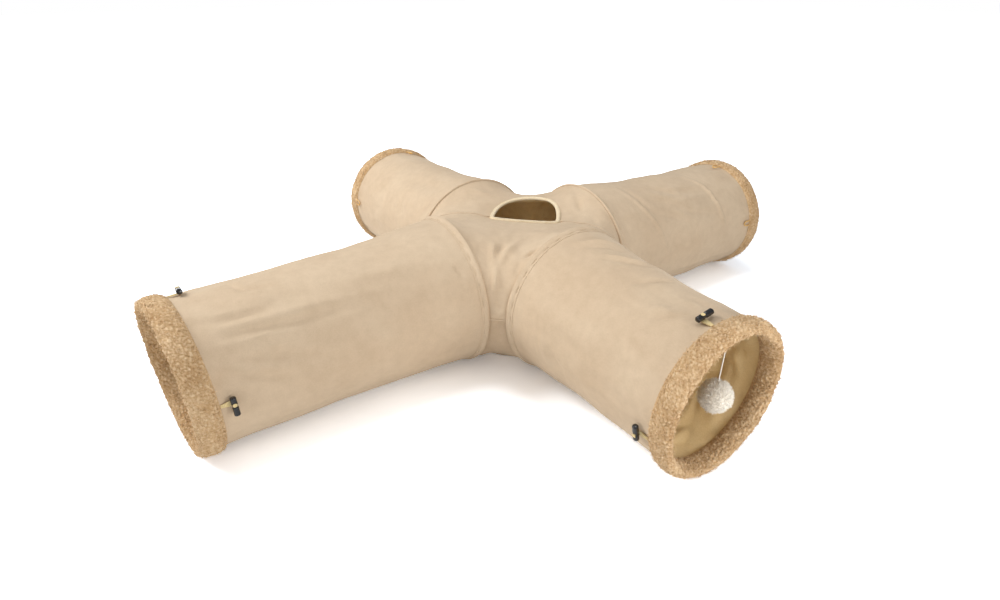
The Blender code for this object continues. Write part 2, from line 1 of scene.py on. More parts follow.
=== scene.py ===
"""Looks of the four-way cat tunnel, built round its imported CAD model.

Metres, +Z up, in the model's own frame: the legs lie along X and Y, and the floor is at zero height.
A leg's own frame has X out along the leg, Y across it and Z up.
"""

import itertools
import json
import math

import bpy
import numpy as np
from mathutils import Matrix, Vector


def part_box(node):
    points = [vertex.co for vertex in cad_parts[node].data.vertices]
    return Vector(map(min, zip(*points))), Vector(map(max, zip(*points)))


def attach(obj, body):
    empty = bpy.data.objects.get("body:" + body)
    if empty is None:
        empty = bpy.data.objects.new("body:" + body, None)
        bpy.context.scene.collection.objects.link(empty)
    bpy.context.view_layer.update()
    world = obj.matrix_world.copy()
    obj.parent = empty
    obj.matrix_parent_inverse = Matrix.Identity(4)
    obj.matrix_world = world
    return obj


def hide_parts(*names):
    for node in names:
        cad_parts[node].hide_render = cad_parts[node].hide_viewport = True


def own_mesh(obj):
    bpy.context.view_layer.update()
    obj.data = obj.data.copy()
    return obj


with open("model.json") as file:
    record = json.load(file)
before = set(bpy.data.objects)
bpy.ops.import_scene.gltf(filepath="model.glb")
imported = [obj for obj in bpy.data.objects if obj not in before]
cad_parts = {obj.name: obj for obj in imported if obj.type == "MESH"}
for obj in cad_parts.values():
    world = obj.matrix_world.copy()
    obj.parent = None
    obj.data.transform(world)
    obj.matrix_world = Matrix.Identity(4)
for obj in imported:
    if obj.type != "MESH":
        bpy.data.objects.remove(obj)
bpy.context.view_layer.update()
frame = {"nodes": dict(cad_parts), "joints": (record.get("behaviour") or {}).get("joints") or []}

QUARTER_TURN = math.pi / 2
GOLDEN_ANGLE = math.pi * (3 - math.sqrt(5))
LEG_QUARTERS = {"rear_right": 0, "rear_left": 1, "front_left": 2, "front_right": 3}
TOGGLE_LEGS = ("front_left", "front_right")
LOOP_LEGS = ("rear_right", "rear_left")
SIDES = ("top", "left", "right")
UP = np.array((0.0, 0.0, 1.0))
SEAM_WAY = np.array((1, -1, 0)) / math.sqrt(2)
REAR_WAY = np.array((1, 1, 0)) / math.sqrt(2)

# Cloth, as in the model
SUEDE_THICKNESS = 0.0014
LINING_THICKNESS = 0.0010
LAYER_SPACING = 0.0062
LINING_SLACK = 0.003
SKIN_TO_LINING = SUEDE_THICKNESS + LAYER_SPACING
SEAM_GAP = 0.0005
CLEARANCE = 0.0003

# Legs, as in the model
REACH = {
    "front_left": 0.630,
    "front_right": 0.499,
    "rear_right": 0.609,
    "rear_left": 0.558,
}
RIM_RADIUS = 0.125
ROLL_WIDTH = 0.038
ROLL_THICKNESS = 0.020
ROLL_STEP = 0.007
SLEEVE_TUCK = 0.012
KNEE_FLARE = 0.0035
HUB_FLARE = 0.015
KNEE_SHARE = 0.4
BAND_WIDTH = 0.014
BAND_THICKNESS = 0.0014
HUB_CORNER = 0.021
SLEEVE_END_RADIUS = RIM_RADIUS - ROLL_STEP
KNEE_RADIUS = SLEEVE_END_RADIUS + KNEE_FLARE
HUB_RADIUS = SLEEVE_END_RADIUS + HUB_FLARE
HUB_HEIGHT = HUB_RADIUS + CLEARANCE + BAND_THICKNESS
HUB_HALF_WIDTH = HUB_RADIUS + HUB_CORNER
COIL_TURNS = 2.5
COIL_START = HUB_HALF_WIDTH + 0.015
COIL_END_GAP = 0.010
WIRE_RADIUS = 0.0012
WIRE_SINK = 0.0017

# How far a leg's mouth is turned aside, as the slope of its plane across the leg
MOUTH_LEAN = {"front_left": -0.12}

# Noise: its table has this many cells a side, and its gain brings it to about -1 to 1
NOISE_CELLS = 24
NOISE_GAIN = 1.7

# A tube's last ring shrinks to this share of its size
CAP_SHARE = 0.02

# Looks of the legs
BAND_ROWS = 24
BAND_RISE, BAND_PEAK = 0.0034, 0.25
BAND_EDGE = 0.0005
BAND_WAVER, BAND_CELLS = 0.18, (0.1, 0.03, 0.03)
STITCH_SHARE = 0.72
STITCH_DIP = 0.0004
STITCH_HEIGHT = 0.30
WIRE_DEPTH = 0.0035
COIL_STEPS = 48
SLEEVE_ROWS, SLEEVE_COLUMNS = 130, 160
LINING_ROWS, LINING_COLUMNS = 70, 120

# How each leg's suede sags between the turns of its coil, and how far the wire shows as a ridge
SAG = {"front_left": 0.0016, "front_right": 0.0014, "rear_right": 0.0026, "rear_left": 0.0014}
RIDGE = {"front_left": 0.0004, "front_right": 0.0003, "rear_right": 0.0004, "rear_left": 0.0003}
RIDGE_WIDTH = 0.0042
DEEPEST = 0.0054
DEEPEST_OVER_WIRE = 0.0024
NEAR_WIRE = 0.012

# Uneven suede: each kind's height, and the cells of its noise along, across and up the leg. Drag lines
# weaken away from the roll, slanting waves run everywhere, and puckers are only found at the roll.
DRAG, DRAG_CELLS = 0.0020, (0.15, 0.020, 0.020)
DRAG_REACH, DRAG_FAR_SHARE = 0.13, 0.35
SLANT, SLANT_CELLS, SLANT_SHEAR = 0.0010, (0.07, 0.045, 0.030), 0.4
PUCKER, PUCKER_CELLS, PUCKER_REACH = 0.0008, (0.05, 0.011, 0.011), 0.014

# The suede lies a little lower beside and behind each closure, so that it stays clear when a leg folds.
CLOSURE_DENT = 0.0018
CLOSURE_ROOM, CLOSURE_ROOM_EASE = 0.130, 0.03
BESIDE_CLOSURE = 0.014

# Distances over which cloth comes free of what holds it: a leg's suede, the hub's suede, and the lining
FREE_FROM_BAND, FREE_FROM_ROLL = 0.02, 0.012
FREE_FROM_HOOP, FREE_FROM_EDGE, FREE_FROM_SEAM = 0.013, 0.010, 0.005
LINING_FREE_FROM_HOOP = 0.02

# The lining sags between the turns and bends in over the wire. It has long and small creases and one
# sewn pleat, and lies flat where it enters the roll.
LINING_SAG = 0.0022
LINING_RIDGE, LINING_RIDGE_WIDTH = 0.0022, 0.0045
LONG_FOLD, LONG_FOLD_CELLS = 0.0058, (0.09, 0.030, 0.030)
SMALL_FOLD, SMALL_FOLD_CELLS, SMALL_FOLD_SHEAR = 0.0052, (0.026, 0.060, 0.045), 0.5
PLEAT, PLEAT_WIDTH, PLEAT_ANGLE = 0.0036, 0.0035, 118
PLEAT_SHOULDER, PLEAT_SHOULDER_WIDTH = 0.0012, 0.004
LINING_FADE = 0.045

# Single folds that the photograph shows. Each has its path as (distance from the hub's middle, degrees
# round the leg), its height (below zero for a valley) and its width.
LEG_FOLDS = {
    "front_left": (
        (((0.576, 53), (0.500, 51), (0.410, 50), (0.337, 48)), 0.0039, 0.010),
        (((0.572, 48), (0.500, 45), (0.410, 43), (0.350, 40)), -0.0045, 0.009),
        (((0.568, 43), (0.510, 41), (0.450, 37)), 0.0033, 0.008),
        (((0.578, 36), (0.516, 28), (0.448, 17), (0.397, 6)), -0.0039, 0.010),
        (((0.580, 30), (0.525, 21), (0.475, 12)), 0.0033, 0.009),
        (((0.578, 23), (0.525, 13), (0.485, 4)), -0.0033, 0.008),
        (((0.578, 67), (0.541, 63), (0.491, 62)), 0.0030, 0.008),
        (((0.574, 61), (0.530, 58), (0.480, 57)), -0.0024, 0.007),
        (((0.520, 100), (0.504, 82), (0.457, 76)), -0.0033, 0.006),
        (((0.194, 46), (0.185, 36)), -0.0039, 0.0038),
        (((0.584, -4), (0.510, -28), (0.456, -45)), -0.0027, 0.009),
        (((0.360, 62), (0.280, 58), (0.215, 50)), 0.0027, 0.012),
    ),
    "front_right": (
        (((0.190, 100), (0.211, 78), (0.238, 60)), 0.0045, 0.006),
        (((0.206, 100), (0.232, 78), (0.258, 60)), -0.0033, 0.006),
        (((0.234, 96), (0.275, 78), (0.296, 59)), 0.0039, 0.007),
        (((0.250, 96), (0.292, 78), (0.312, 59)), -0.0027, 0.006),
        (((0.322, 104), (0.339, 88), (0.350, 72)), -0.0033, 0.007),
        (((0.375, 118), (0.396, 104), (0.403, 90)), 0.0042, 0.007),
        (((0.390, 120), (0.412, 108), (0.428, 100)), -0.0045, 0.006),
        (((0.233, 170), (0.251, 193)), 0.0030, 0.008),
        (((0.248, 178), (0.282, 196)), -0.0036, 0.007),
        (((0.248, 157), (0.305, 156), (0.343, 159)), 0.0030, 0.016),
    ),
    "rear_right": (
        (((0.439, 96), (0.463, 120), (0.475, 146), (0.497, 190)), 0.0045, 0.0046),
        (((0.226, 100), (0.249, 125), (0.272, 149), (0.303, 186)), 0.0036, 0.0044),
        (((0.240, 96), (0.262, 124), (0.285, 140)), -0.0027, 0.007),
        (((0.305, 106), (0.364, 119), (0.441, 121)), -0.0042, 0.009),
        (((0.300, 116), (0.360, 129), (0.440, 132)), 0.0039, 0.010),
        (((0.340, 132), (0.392, 146), (0.454, 151)), -0.0039, 0.009),
        (((0.267, 136), (0.329, 144), (0.370, 154)), -0.0030, 0.009),
    ),
    "rear_left": (
        (((0.360, 60), (0.200, 66)), -0.0030, 0.016),
        (((0.310, 36), (0.270, 24)), -0.0030, 0.010),
    ),
}

# Plush roll
GROOVE_DEPTH = 0.0153
ROLL_COLUMNS = 500
ROLL_ARC_STEPS = 72
TUFT = 0.0052
TUFT_HEIGHT = 0.0031
PILE_DEPTH = 0.0016
LUMP, LUMP_SIZE = 0.0010, 0.034
WARP_SIZE, CLUMP_WARP, CURL_WARP = 0.004, 0.0016, 0.0010
CURL_SHARE = 0.5
PILE_COUNT = 4200
PILE_LENGTH = 0.0050
PILE_RADIUS = 0.00042
PILE_SPREAD, PILE_CURL = 0.45, 0.9
PILE_SINK = 0.0008

# Hub. A patch of its skin spans from one leg's hoop to the next, in rows that climb from the side seam.
HUB_ROWS = 48
SPOKE_STEPS = 12
INNER_STEPS = 36
CLOTH_ROUNDS = 260
MOMENTUM = 0.89
FLOOR_PATCH_INSET = 0.042
FLOOR_PATCH_RINGS = 6
HOLE_WIDTH = 0.126
HOLE_DEPTH = 0.088
HOLE_BOW = 0.009
HOLE_SHIFT = 0.012
HOLE_FRONT_SAG = 0.0317
HOLE_REAR_SAG = 0.0197
HOLE_POWER = 2.4
HOLE_SKEW = 0.012
BINDING_HALF_WIDTH = 0.0042
BINDING_HALF_HEIGHT = 0.0027
BINDING_STEPS, BINDING_SIDES = 220, 20
HOLE_TUCK = 0.0034
SEAM_CORD_RADIUS = {"top": 0.0019, "side": 0.0013}
SEAM_CORD_RISE = 0.6
SEAM_CORD_STEPS = 90
HUB_BROAD, HUB_BROAD_SIZE = 0.0022, 0.055
HUB_RIPPLE, HUB_RIPPLE_SIZE = 0.0011, 0.021
SIDE_PUFF = 0.0050
TOP_PUFF = 0.0009
TOP_DIP = 0.0016
BASE_FOLD, BASE_FOLD_SIZE = 0.0014, 0.016
BASE_TUCK = 0.0040
HUB_LINING_FOLD, HUB_LINING_FOLD_SIZE = 1.4, 0.045

# Single folds of the hub's top, with paths in the model's frame
HUB_FOLDS = (
    (((-0.063, -0.093, 0.243), (-0.100, -0.106, 0.230), (-0.130, -0.118, 0.214)), 0.0080, 0.010),
    (((-0.128, -0.117, 0.218), (-0.143, -0.134, 0.180)), 0.0070, 0.009),
    (((-0.104, -0.070, 0.241), (-0.132, -0.110, 0.220)), 0.0060, 0.008),
    (((-0.090, -0.080, 0.240), (-0.128, -0.122, 0.208)), -0.0058, 0.009),
    (((-0.062, -0.153, 0.250), (-0.088, -0.137, 0.234)), -0.0080, 0.0048),
    (((-0.075, -0.120, 0.236), (-0.110, -0.150, 0.210)), -0.0050, 0.009),
    (((0.134, -0.020, 0.255), (0.110, -0.050, 0.245)), -0.0050, 0.006),
    (((0.140, 0.010, 0.258), (0.108, -0.020, 0.250)), 0.0036, 0.008),
    (((-0.020, 0.140, 0.258), (0.010, 0.108, 0.250)), 0.0036, 0.010),
)

# Stitches and closures
STITCH_LENGTH = 0.0030
STITCH_PITCH = 0.0043
STITCH_RADIUS = 0.00034
TAB_WIDTH = 0.008
TAB_THICKNESS = 0.0016
TAB_LENGTH = 0.021
TAB_EYE_DISTANCE = 0.017
TAB_RIBS, TAB_RIB_HEIGHT = 7, 0.00012
TAB_ARCH = 0.0006
TAB_SINK = 0.0001
TOGGLE_LENGTH = 0.029
TOGGLE_RADIUS = 0.0042
TOGGLE_EYE_OFFSET = 0.0035
TOGGLE_ROUNDING = TOGGLE_RADIUS * 0.32
TOGGLE_SQUARENESS = 0.82
TOGGLE_NECK, TOGGLE_NECK_SPAN = 0.19, (-0.0015, 0.0042)
WINDOW_HALF_WIDTH, WINDOW_HALF_LENGTH, WINDOW_DEPTH = 0.0031, 0.0034, 0.0013
PARTING_LINE = 0.00008
LOOP_CORD_RADIUS = 0.0015
LOOP_HALF_WIDTH = 0.005
LOOP_LENGTH = 0.018
LOOP_LIFT = 0.0012
LOOP_RINGS, LOOP_SIDES = 90, 14
KNOT_RADIUS = 0.0029

# Pompom
POMPOM_CORD_LENGTH = 0.068
POMPOM_CORD_DIAMETER = 0.0015
POMPOM_YARNS = 3600
POMPOM_CORE_SHARE = 0.80
CORE_TUFT, CORE_TUFT_HEIGHT = 0.0055, 0.0022
YARN_LENGTH, YARN_FLUFF = 0.0056, 0.0026
YARN_RADIUS = 0.00058
YARN_SPREAD, YARN_CURL = 0.22, 0.35
YARN_ROOT = 0.08
CORD_STEPS = 15
CORD_RINGS, CORD_SIDES = 160, 12
CORD_TWIST = 0.006

# Camera of the photograph: its place, the way it faces in degrees, and its focal length in pixels
CAMERA_PLACE = (-0.620, -0.847, 0.649)
CAMERA_HEADING = 55.66
CAMERA_DROP = 29.27
FOCAL_PIXELS = 591
PHOTO_WIDTH = 1000

# Studio. The floor's colour differs for the camera, so that its lit parts show as white as the photograph's.
FLOOR_SIZE = 12
FLOOR_WHITE = (0.80, 0.80, 0.80, 1)
FLOOR_EXPOSED = (2.00, 2.12, 2.28, 1)
GLOW_START, GLOW_END = 0.6, 1.8
SKY_STRENGTH = 0.40


# Arrays of points


def unit(vectors):
    return vectors / np.maximum(np.linalg.norm(vectors, axis=-1, keepdims=True), 1e-12)


def ease(share):
    """A smooth step from 0 to 1."""
    share = np.clip(share, 0, 1)
    return share * share * (3 - 2 * share)


def bell(distance, width):
    """1 at no distance, and next to nothing beyond twice the width."""
    return np.exp(-((distance / width) ** 2))


def blend(low, high, share):
    return low + (high - low) * share


def circle(count):
    """Even angles round a circle."""
    return math.tau * np.arange(count) / count


def squared_circle(count, power):
    """x and y of a circle of radius 1, squared up by a power below 1."""
    turn = circle(count)
    return [np.sign(f(turn)) * np.abs(f(turn)) ** power for f in (np.cos, np.sin)]


def tube_points(along, angle, radius):
    """Points of an even tube along X."""
    return np.stack((along, radius * np.cos(angle), radius * np.sin(angle)), axis=-1)


def round_distance(angle, other):
    """Distance round a leg between two angles."""
    return np.abs(np.angle(np.exp(1j * (angle - other)))) * SLEEVE_END_RADIUS


def turned(points, quarters):
    """Points of a leg's frame in the model's frame."""
    sine, cosine = ((0, 1), (1, 0), (0, -1), (-1, 0))[quarters % 4]
    x, y, z = np.moveaxis(np.asarray(points, float), -1, 0)
    return np.stack((x * cosine - y * sine, x * sine + y * cosine, z), axis=-1)


def travel(points):
    """Distance along a polyline at each of its points."""
    spans = np.linalg.norm(np.diff(points, axis=0), axis=1)
    return np.concatenate(((0,), np.cumsum(spans)))


def resampled(points, count):
    """Points at even distances along a polyline."""
    travelled = travel(points)
    spots = np.linspace(0, travelled[-1], count)
    return np.stack([np.interp(spots, travelled, points[:, axis]) for axis in range(3)], -1)


def noise(points, size, seed):
    """Smooth noise, mostly from -1 to 1, in cells of a size in metres. The size may differ by axis."""
    table = unit(np.random.default_rng(seed).normal(size=(NOISE_CELLS,) * 3 + (3,)))
    places = np.asarray(points) / size
    cells = np.floor(places).astype(int)
    inside = places - cells
    fade = inside**3 * (inside * (inside * 6 - 15) + 10)
    total = np.zeros(len(places))
    for corner in itertools.product((0, 1), repeat=3):
        slopes = table[tuple(((cells + corner) % NOISE_CELLS).T)]
        weight = np.prod(np.where(corner, fade, 1 - fade), axis=1)
        total += weight * ((inside - corner) * slopes).sum(axis=1)
    return NOISE_GAIN * total


def tufts(points, size, seed):
    """0 in the clefts between clumps of a size, rising to about 1 in the middle of each clump."""
    table = np.random.default_rng(seed).uniform(size=(NOISE_CELLS,) * 3 + (3,))
    places = np.asarray(points) / size
    cells = np.floor(places).astype(int)
    nearest = np.full(len(places), np.inf)
    second = nearest.copy()
    for step in itertools.product((-1, 0, 1), repeat=3):
        other = cells + step
        gap = np.linalg.norm(other + table[tuple((other % NOISE_CELLS).T)] - places, axis=1)
        second = np.minimum(second, np.maximum(nearest, gap))
        nearest = np.minimum(nearest, gap)
    return np.clip(1.6 * (second - nearest), 0, 1) ** 0.6


def crease(places, path, height, width):
    """A soft fold along a line on the cloth, with a shoulder on each side. It fades at both ends."""
    path = np.asarray(path, float)
    spans = np.diff(path, axis=0)
    lengths = np.linalg.norm(spans, axis=1)
    before = travel(path)
    gap = np.full(len(places), np.inf)
    share = np.zeros(len(places))
    for start, span, length, travelled in zip(path, spans, lengths, before):
        passed = np.clip((places - start) @ span / length**2, 0, 1)
        distance = np.linalg.norm(places - start - passed[:, None] * span, axis=1) / width
        share = np.where(distance < gap, (travelled + passed * length) / before[-1], share)
        gap = np.minimum(gap, distance)
    return height * (1 - 0.5 * gap**2) * bell(gap, 1) * (0.15 + 0.85 * np.sin(np.pi * share))


# Meshes


def quads(index, flip=False):
    """Four-sided faces over a grid of vertex numbers. Flipped, they look the other way."""
    first, second, third, last = index[:-1, :-1], index[1:, :-1], index[1:, 1:], index[:-1, 1:]
    corners = (first, last, third, second) if flip else (first, second, third, last)
    return np.stack(corners, axis=-1).reshape(-1, 4)


def wrapped(index):
    """A grid of vertex numbers with its first column once more at its end."""
    return np.concatenate((index, index[:, :1]), axis=1)


def grid_faces(rows, columns, wrap):
    """Faces of a grid of vertices that are counted row by row. Its columns may wrap round."""
    index = np.arange(rows * columns).reshape(rows, columns)
    return quads(wrapped(index) if wrap else index)


def ring_faces(rows, columns):
    """Faces of a grid that wraps round both ways."""
    index = np.arange(rows * columns).reshape(rows, columns)
    return quads(wrapped(np.concatenate((index, index[:1]))), flip=True)


def diagonals(points, faces):
    """The cross product of each four-sided face's diagonals: along its normal, twice its area long."""
    first = points[faces[:, 2]] - points[faces[:, 0]]
    return np.cross(first, points[faces[:, 3]] - points[faces[:, 1]])


def normals_of(points, faces):
    """Unit normal at each vertex."""
    cross = diagonals(points, faces)
    total = np.zeros_like(points)
    for corner in range(4):
        np.add.at(total, faces[:, corner], cross)
    return unit(total)


def surface(points, faces):
    """Area of a skin of four-sided faces."""
    return np.linalg.norm(diagonals(points, faces), axis=1).sum() / 2


def closed_wall(outer, inner, faces):
    """Vertices and faces of the wall between two skins that have the same faces."""
    sides = np.concatenate([faces[:, [i, (i + 1) % 4]] for i in range(4)])
    sides = set(map(tuple, sides.tolist()))
    border = [(first, second) for first, second in sides if (second, first) not in sides]
    shift = len(outer)
    edge = np.array([(b, a, a + shift, b + shift) for a, b in sorted(border)], int).reshape(-1, 4)
    return np.concatenate((outer, inner)), np.concatenate((faces, faces[:, ::-1] + shift, edge))


def used_only(points, faces):
    """The vertices that some faces use, and the faces over them."""
    used, faces = np.unique(faces, return_inverse=True)
    return [array[used] for array in points], faces.reshape(-1, 4)


def tubes(centres, radii, hint):
    """Closed three-sided tubes, as vertices and faces. centres holds the ring centres of each tube."""
    count, rings = centres.shape[:2]
    heading = unit(centres[:, -1] - centres[:, 0])
    across = unit(np.cross(heading, hint))
    third = np.cross(heading, across)
    spokes = [math.cos(a) * across + math.sin(a) * third for a in circle(3)]
    corners = centres[:, :, None] + np.asarray(radii)[:, None, None] * np.stack(spokes, 1)[:, None]
    faces = [(2, 1, 0)]
    for ring, side in itertools.product(range(rings - 1), range(3)):
        low, high = 3 * ring + side, 3 * ring + (side + 1) % 3
        faces += [(low, high, high + 3), (low, high + 3, low + 3)]
    faces.append(tuple(3 * rings - 3 + side for side in range(3)))
    starts = 3 * rings * np.arange(count)
    return corners.reshape(-1, 3), (starts[:, None, None] + np.array(faces)).reshape(-1, 3)


def round_bar(centres, normals, radius, sides):
    """An open tube through ring centres, as a grid of points and its faces.

    The normals say which way each ring's spoke at a quarter turn points.
    """
    heading = np.roll(centres, -1, axis=0) - np.roll(centres, 1, axis=0)
    heading[0], heading[-1] = centres[1] - centres[0], centres[-1] - centres[-2]
    across = unit(np.cross(heading, normals))
    upward = unit(np.cross(across, heading))
    angles = circle(sides)
    spokes = np.cos(angles)[:, None] * across[:, None] + np.sin(angles)[:, None] * upward[:, None]
    grid = centres[:, None] + np.asarray(radius).reshape(-1, 1, 1) * spokes
    return grid, grid_faces(len(centres), sides, wrap=True)[:, ::-1]


def capped(grid):
    """Draws the first and last ring of an open tube to their middles, so that it is closed."""
    for ring in (0, -1):
        middle = grid[ring].mean(axis=0)
        grid[ring] = middle + (grid[ring] - middle) * CAP_SHARE
    return grid.reshape(-1, 3)


def braided(centres, grid, weave):
    """Closes a tube and scales its section at each point by the weave of its threads."""
    return capped(centres[:, None] + (grid - centres[:, None]) * weave[..., None])


def lathe(profile, sides, squareness):
    """A turned body round Z through (radius, height) points, squared up by a squareness below 1."""
    x, y = squared_circle(sides, squareness)
    rings = [np.stack((r * x, r * y, np.full(sides, z)), -1) for r, z in profile]
    return np.concatenate(rings), grid_faces(len(rings), sides, wrap=True)[:, ::-1]


def link(obj):
    bpy.context.scene.collection.objects.link(obj)
    return obj


def piece(name, points, faces, paint, body, nodes=(), slot=None, smooth=60):
    """A mesh that rides on a body and stands for CAD nodes. Its edges beyond smooth degrees are sharp."""
    mesh = bpy.data.meshes.new(name)
    mesh.from_pydata(np.asarray(points, float), [], faces)
    mesh.validate()
    mesh.shade_smooth()
    mesh.set_sharp_from_angle(angle=math.radians(smooth))
    mesh.materials.append(paint)
    made = link(bpy.data.objects.new(name, mesh))
    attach(made, body)
    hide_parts(*nodes)
    return made


def shade_by(obj, values):
    """Keeps a number from 0 to 1 at each vertex, which the material reads as 'pile'. Mostly it is painted
    shade: low in clefts and at strand roots.
    """
    attribute = obj.data.attributes.new("pile", "FLOAT", "POINT")
    attribute.data.foreach_set("value", np.asarray(values, np.float32))


# Materials


def linear(red, green, blue):
    """A colour given as 0 to 255 sRGB, in Blender's linear values."""
    shares = [value / 255 for value in (red, green, blue)]
    return [c / 12.92 if c < 0.04045 else ((c + 0.055) / 1.055) ** 2.4 for c in shares] + [1]


def add_node(tree, kind, settings=(), inputs=()):
    """Adds a shader node. Its inputs go by name or number, each with a value or a socket to link."""
    made = tree.nodes.new("ShaderNode" + kind)
    for key, value in dict(settings).items():
        setattr(made, key, value)
    for key, value in dict(inputs).items():
        if isinstance(value, bpy.types.NodeSocket):
            tree.links.new(value, made.inputs[key])
        else:
            made.inputs[key].default_value = value
    return made


def maths(tree, operation, first, second):
    return add_node(tree, "Math", {"operation": operation}, {0: first, 1: second}).outputs[0]


class Paint:
    """A node material while it is made."""

    def __init__(self, name, roughness, sheen=0.0, metallic=0.0, coat=0.0):
        self.material = bpy.data.materials.new(f"{name}_look")
        self.material.use_nodes = True
        self.tree = self.material.node_tree
        self.sockets = self.tree.nodes["Principled BSDF"].inputs
        self.sockets["Roughness"].default_value = roughness
        self.sockets["Metallic"].default_value = metallic
        self.sockets["Coat Weight"].default_value = coat
        self.sockets["Sheen Weight"].default_value = sheen
        self.sockets["Sheen Roughness"].default_value = 0.5
        self.place = add_node(self.tree, "TexCoord").outputs["Object"]

    def noise(self, size, detail=2.0, distortion=0.0):
        """Noise from 0 to 1 with features of a size in metres."""
        inputs = {"Vector": self.place, "Scale": 1 / size, "Detail": detail, "Distortion": distortion}
        return add_node(self.tree, "TexNoise", (), inputs).outputs["Fac"]

    def wave(self, size, direction, distortion):
        """Bands that come again at a size in metres."""
        settings = {"wave_type": "BANDS", "bands_direction": direction}
        inputs = {"Vector": self.place, "Scale": math.tau / (20 * size), "Distortion": distortion}
        return add_node(self.tree, "TexWave", settings, inputs).outputs["Fac"]

    def pile(self, size, detail, drift, share=None):
        """The number kept at each vertex by shade_by, mostly painted shade, or a share of it, with drifting
        noise on top.
        """
        stored = add_node(self.tree, "Attribute", {"attribute_name": "pile"}).outputs["Fac"]
        if share:
            stored = maths(self.tree, "MULTIPLY", stored, share)
        drifting = maths(self.tree, "MULTIPLY", self.noise(size, detail), drift)
        return maths(self.tree, "ADD", stored, drifting)

    def ramp(self, factor, *stops):
        """A colour for each (position, colour) stop, mixed by the factor."""
        made = add_node(self.tree, "ValToRGB", (), {"Fac": factor})
        while len(made.color_ramp.elements) < len(stops):
            made.color_ramp.elements.new(0.5)
        for element, (position, colour) in zip(made.color_ramp.elements, stops):
            element.position = position
            element.color = linear(*colour)
        return made.outputs["Color"]

    def specked(self, colour, dark, size, detail=2.0, span=(0.30, 0.70)):
        """The colour, multiplied by specks of a size that go from a dark tone to white."""
        specks = self.ramp(self.noise(size, detail), (span[0], dark), (span[1], (255, 255, 255)))
        settings = {"data_type": "RGBA", "blend_type": "MULTIPLY"}
        return add_node(self.tree, "Mix", settings, {0: 1.0, 6: colour, 7: specks}).outputs[2]

    def bump(self, *layers):
        """Stacks (height, depth in metres) layers as the shader's normal."""
        normal = None
        for height, depth in layers:
            made = add_node(self.tree, "Bump", (), {"Height": height, "Distance": depth, "Strength": 1.0})
            if normal is not None:
                self.tree.links.new(normal, made.inputs["Normal"])
            normal = made.outputs["Normal"]
        self.tree.links.new(normal, self.sockets["Normal"])

    def finish(self, colour, sheen_tint=None):
        self.tree.links.new(colour, self.sockets["Base Color"])
        if sheen_tint:
            self.sockets["Sheen Tint"].default_value = linear(*sheen_tint)
        return self.material


def suede_paint(name, light, dark):
    """Brushed suede: broad strokes of nap, mottling and a fine grain."""
    paint = Paint(name, 0.92, sheen=0.22)
    nap = paint.ramp(paint.noise(0.110, 2, 0.5), (0.30, dark), (0.70, light))
    mottled = paint.specked(nap, (247, 246, 244), 0.014, detail=4)
    colour = paint.specked(mottled, (236, 234, 230), 0.0009, span=(0.25, 0.75))
    paint.bump((paint.noise(0.005), 0.00015), (paint.noise(0.0009), 0.00022))
    return paint.finish(colour, (250, 236, 214))


def plush_paint():
    """Curly pile with painted shade: dark in the clefts, light at the tips."""
    paint = Paint("plush", 0.97, sheen=0.35)
    # Painted shade from the roll's clumps, with drifting noise on top; the ramp paints the clefts dark
    # brown.
    depth = paint.pile(0.0022, 2, drift=0.45)
    tone = paint.ramp(depth, (0.15, (126, 86, 50)), (0.52, (200, 162, 116)), (0.90, (238, 210, 170)))
    paint.bump((paint.noise(0.0016, 3, 1.5), 0.0009))
    colour = paint.specked(tone, (240, 236, 230), 0.03, span=(0.35, 0.65))
    return paint.finish(colour, (255, 232, 196))


def pile_paint():
    """One strand of the pile, with painted shade from a dark root to a light tip."""
    paint = Paint("plush_pile", 0.95, sheen=0.3)
    depth = paint.pile(0.006, 1, drift=0.5, share=0.6)
    tone = paint.ramp(depth, (0.15, (152, 110, 70)), (0.50, (206, 169, 123)), (0.90, (238, 210, 170)))
    return paint.finish(tone, (255, 232, 196))


def lining_paint():
    """Plain-woven khaki lining with a slight shine."""
    paint = Paint("lining", 0.62, sheen=0.12)
    tone = paint.ramp(paint.noise(0.05, 3, 0.4), (0.30, (236, 207, 152)), (0.70, (243, 217, 166)))
    threads = [(paint.wave(0.0011, axis, 0.4), 0.00008) for axis in "XYZ"]
    paint.bump((paint.noise(0.006), 0.0003), *threads)
    return paint.finish(paint.specked(tone, (236, 232, 224), 0.0012))


def tape_paint(name, light, dark, size):
    """Narrow woven tape or elastic."""
    paint = Paint(name, 0.8, sheen=0.15)
    tone = paint.ramp(paint.noise(0.008), (0.30, dark), (0.70, light))
    paint.bump((paint.wave(size, "DIAGONAL", 0.3), 0.00012), (paint.noise(size), 0.00012))
    return paint.finish(paint.specked(tone, (228, 224, 214), size))


def plastic_paint():
    """Moulded black plastic, faintly uneven in its gloss."""
    paint = Paint("black_plastic", 0.24, coat=0.25)
    tone = paint.ramp(paint.noise(0.004), (0.3, (13, 13, 15)), (0.7, (24, 24, 27)))
    paint.bump((paint.noise(0.0015), 0.00004))
    return paint.finish(tone)


def steel_paint():
    """Drawn spring wire."""
    paint = Paint("steel", 0.32, metallic=1.0)
    tone = paint.ramp(paint.noise(0.003, 3), (0.3, (132, 132, 137)), (0.7, (166, 166, 171)))
    paint.bump((paint.noise(0.0008), 0.00003))
    return paint.finish(tone)


def yarn_paint(name, light, dark):
    """Soft yarn, with painted shade that darkens it towards its roots."""
    paint = Paint(name, 0.95, sheen=0.3)
    tone = paint.ramp(paint.pile(0.004, 2, drift=0.5, share=0.7), (0.2, dark), (0.9, light))
    paint.bump((paint.noise(0.0009), 0.0002))
    return paint.finish(tone)


# Legs


def joint_named(name):
    return next(joint for joint in frame["joints"] if joint["name"] == name)


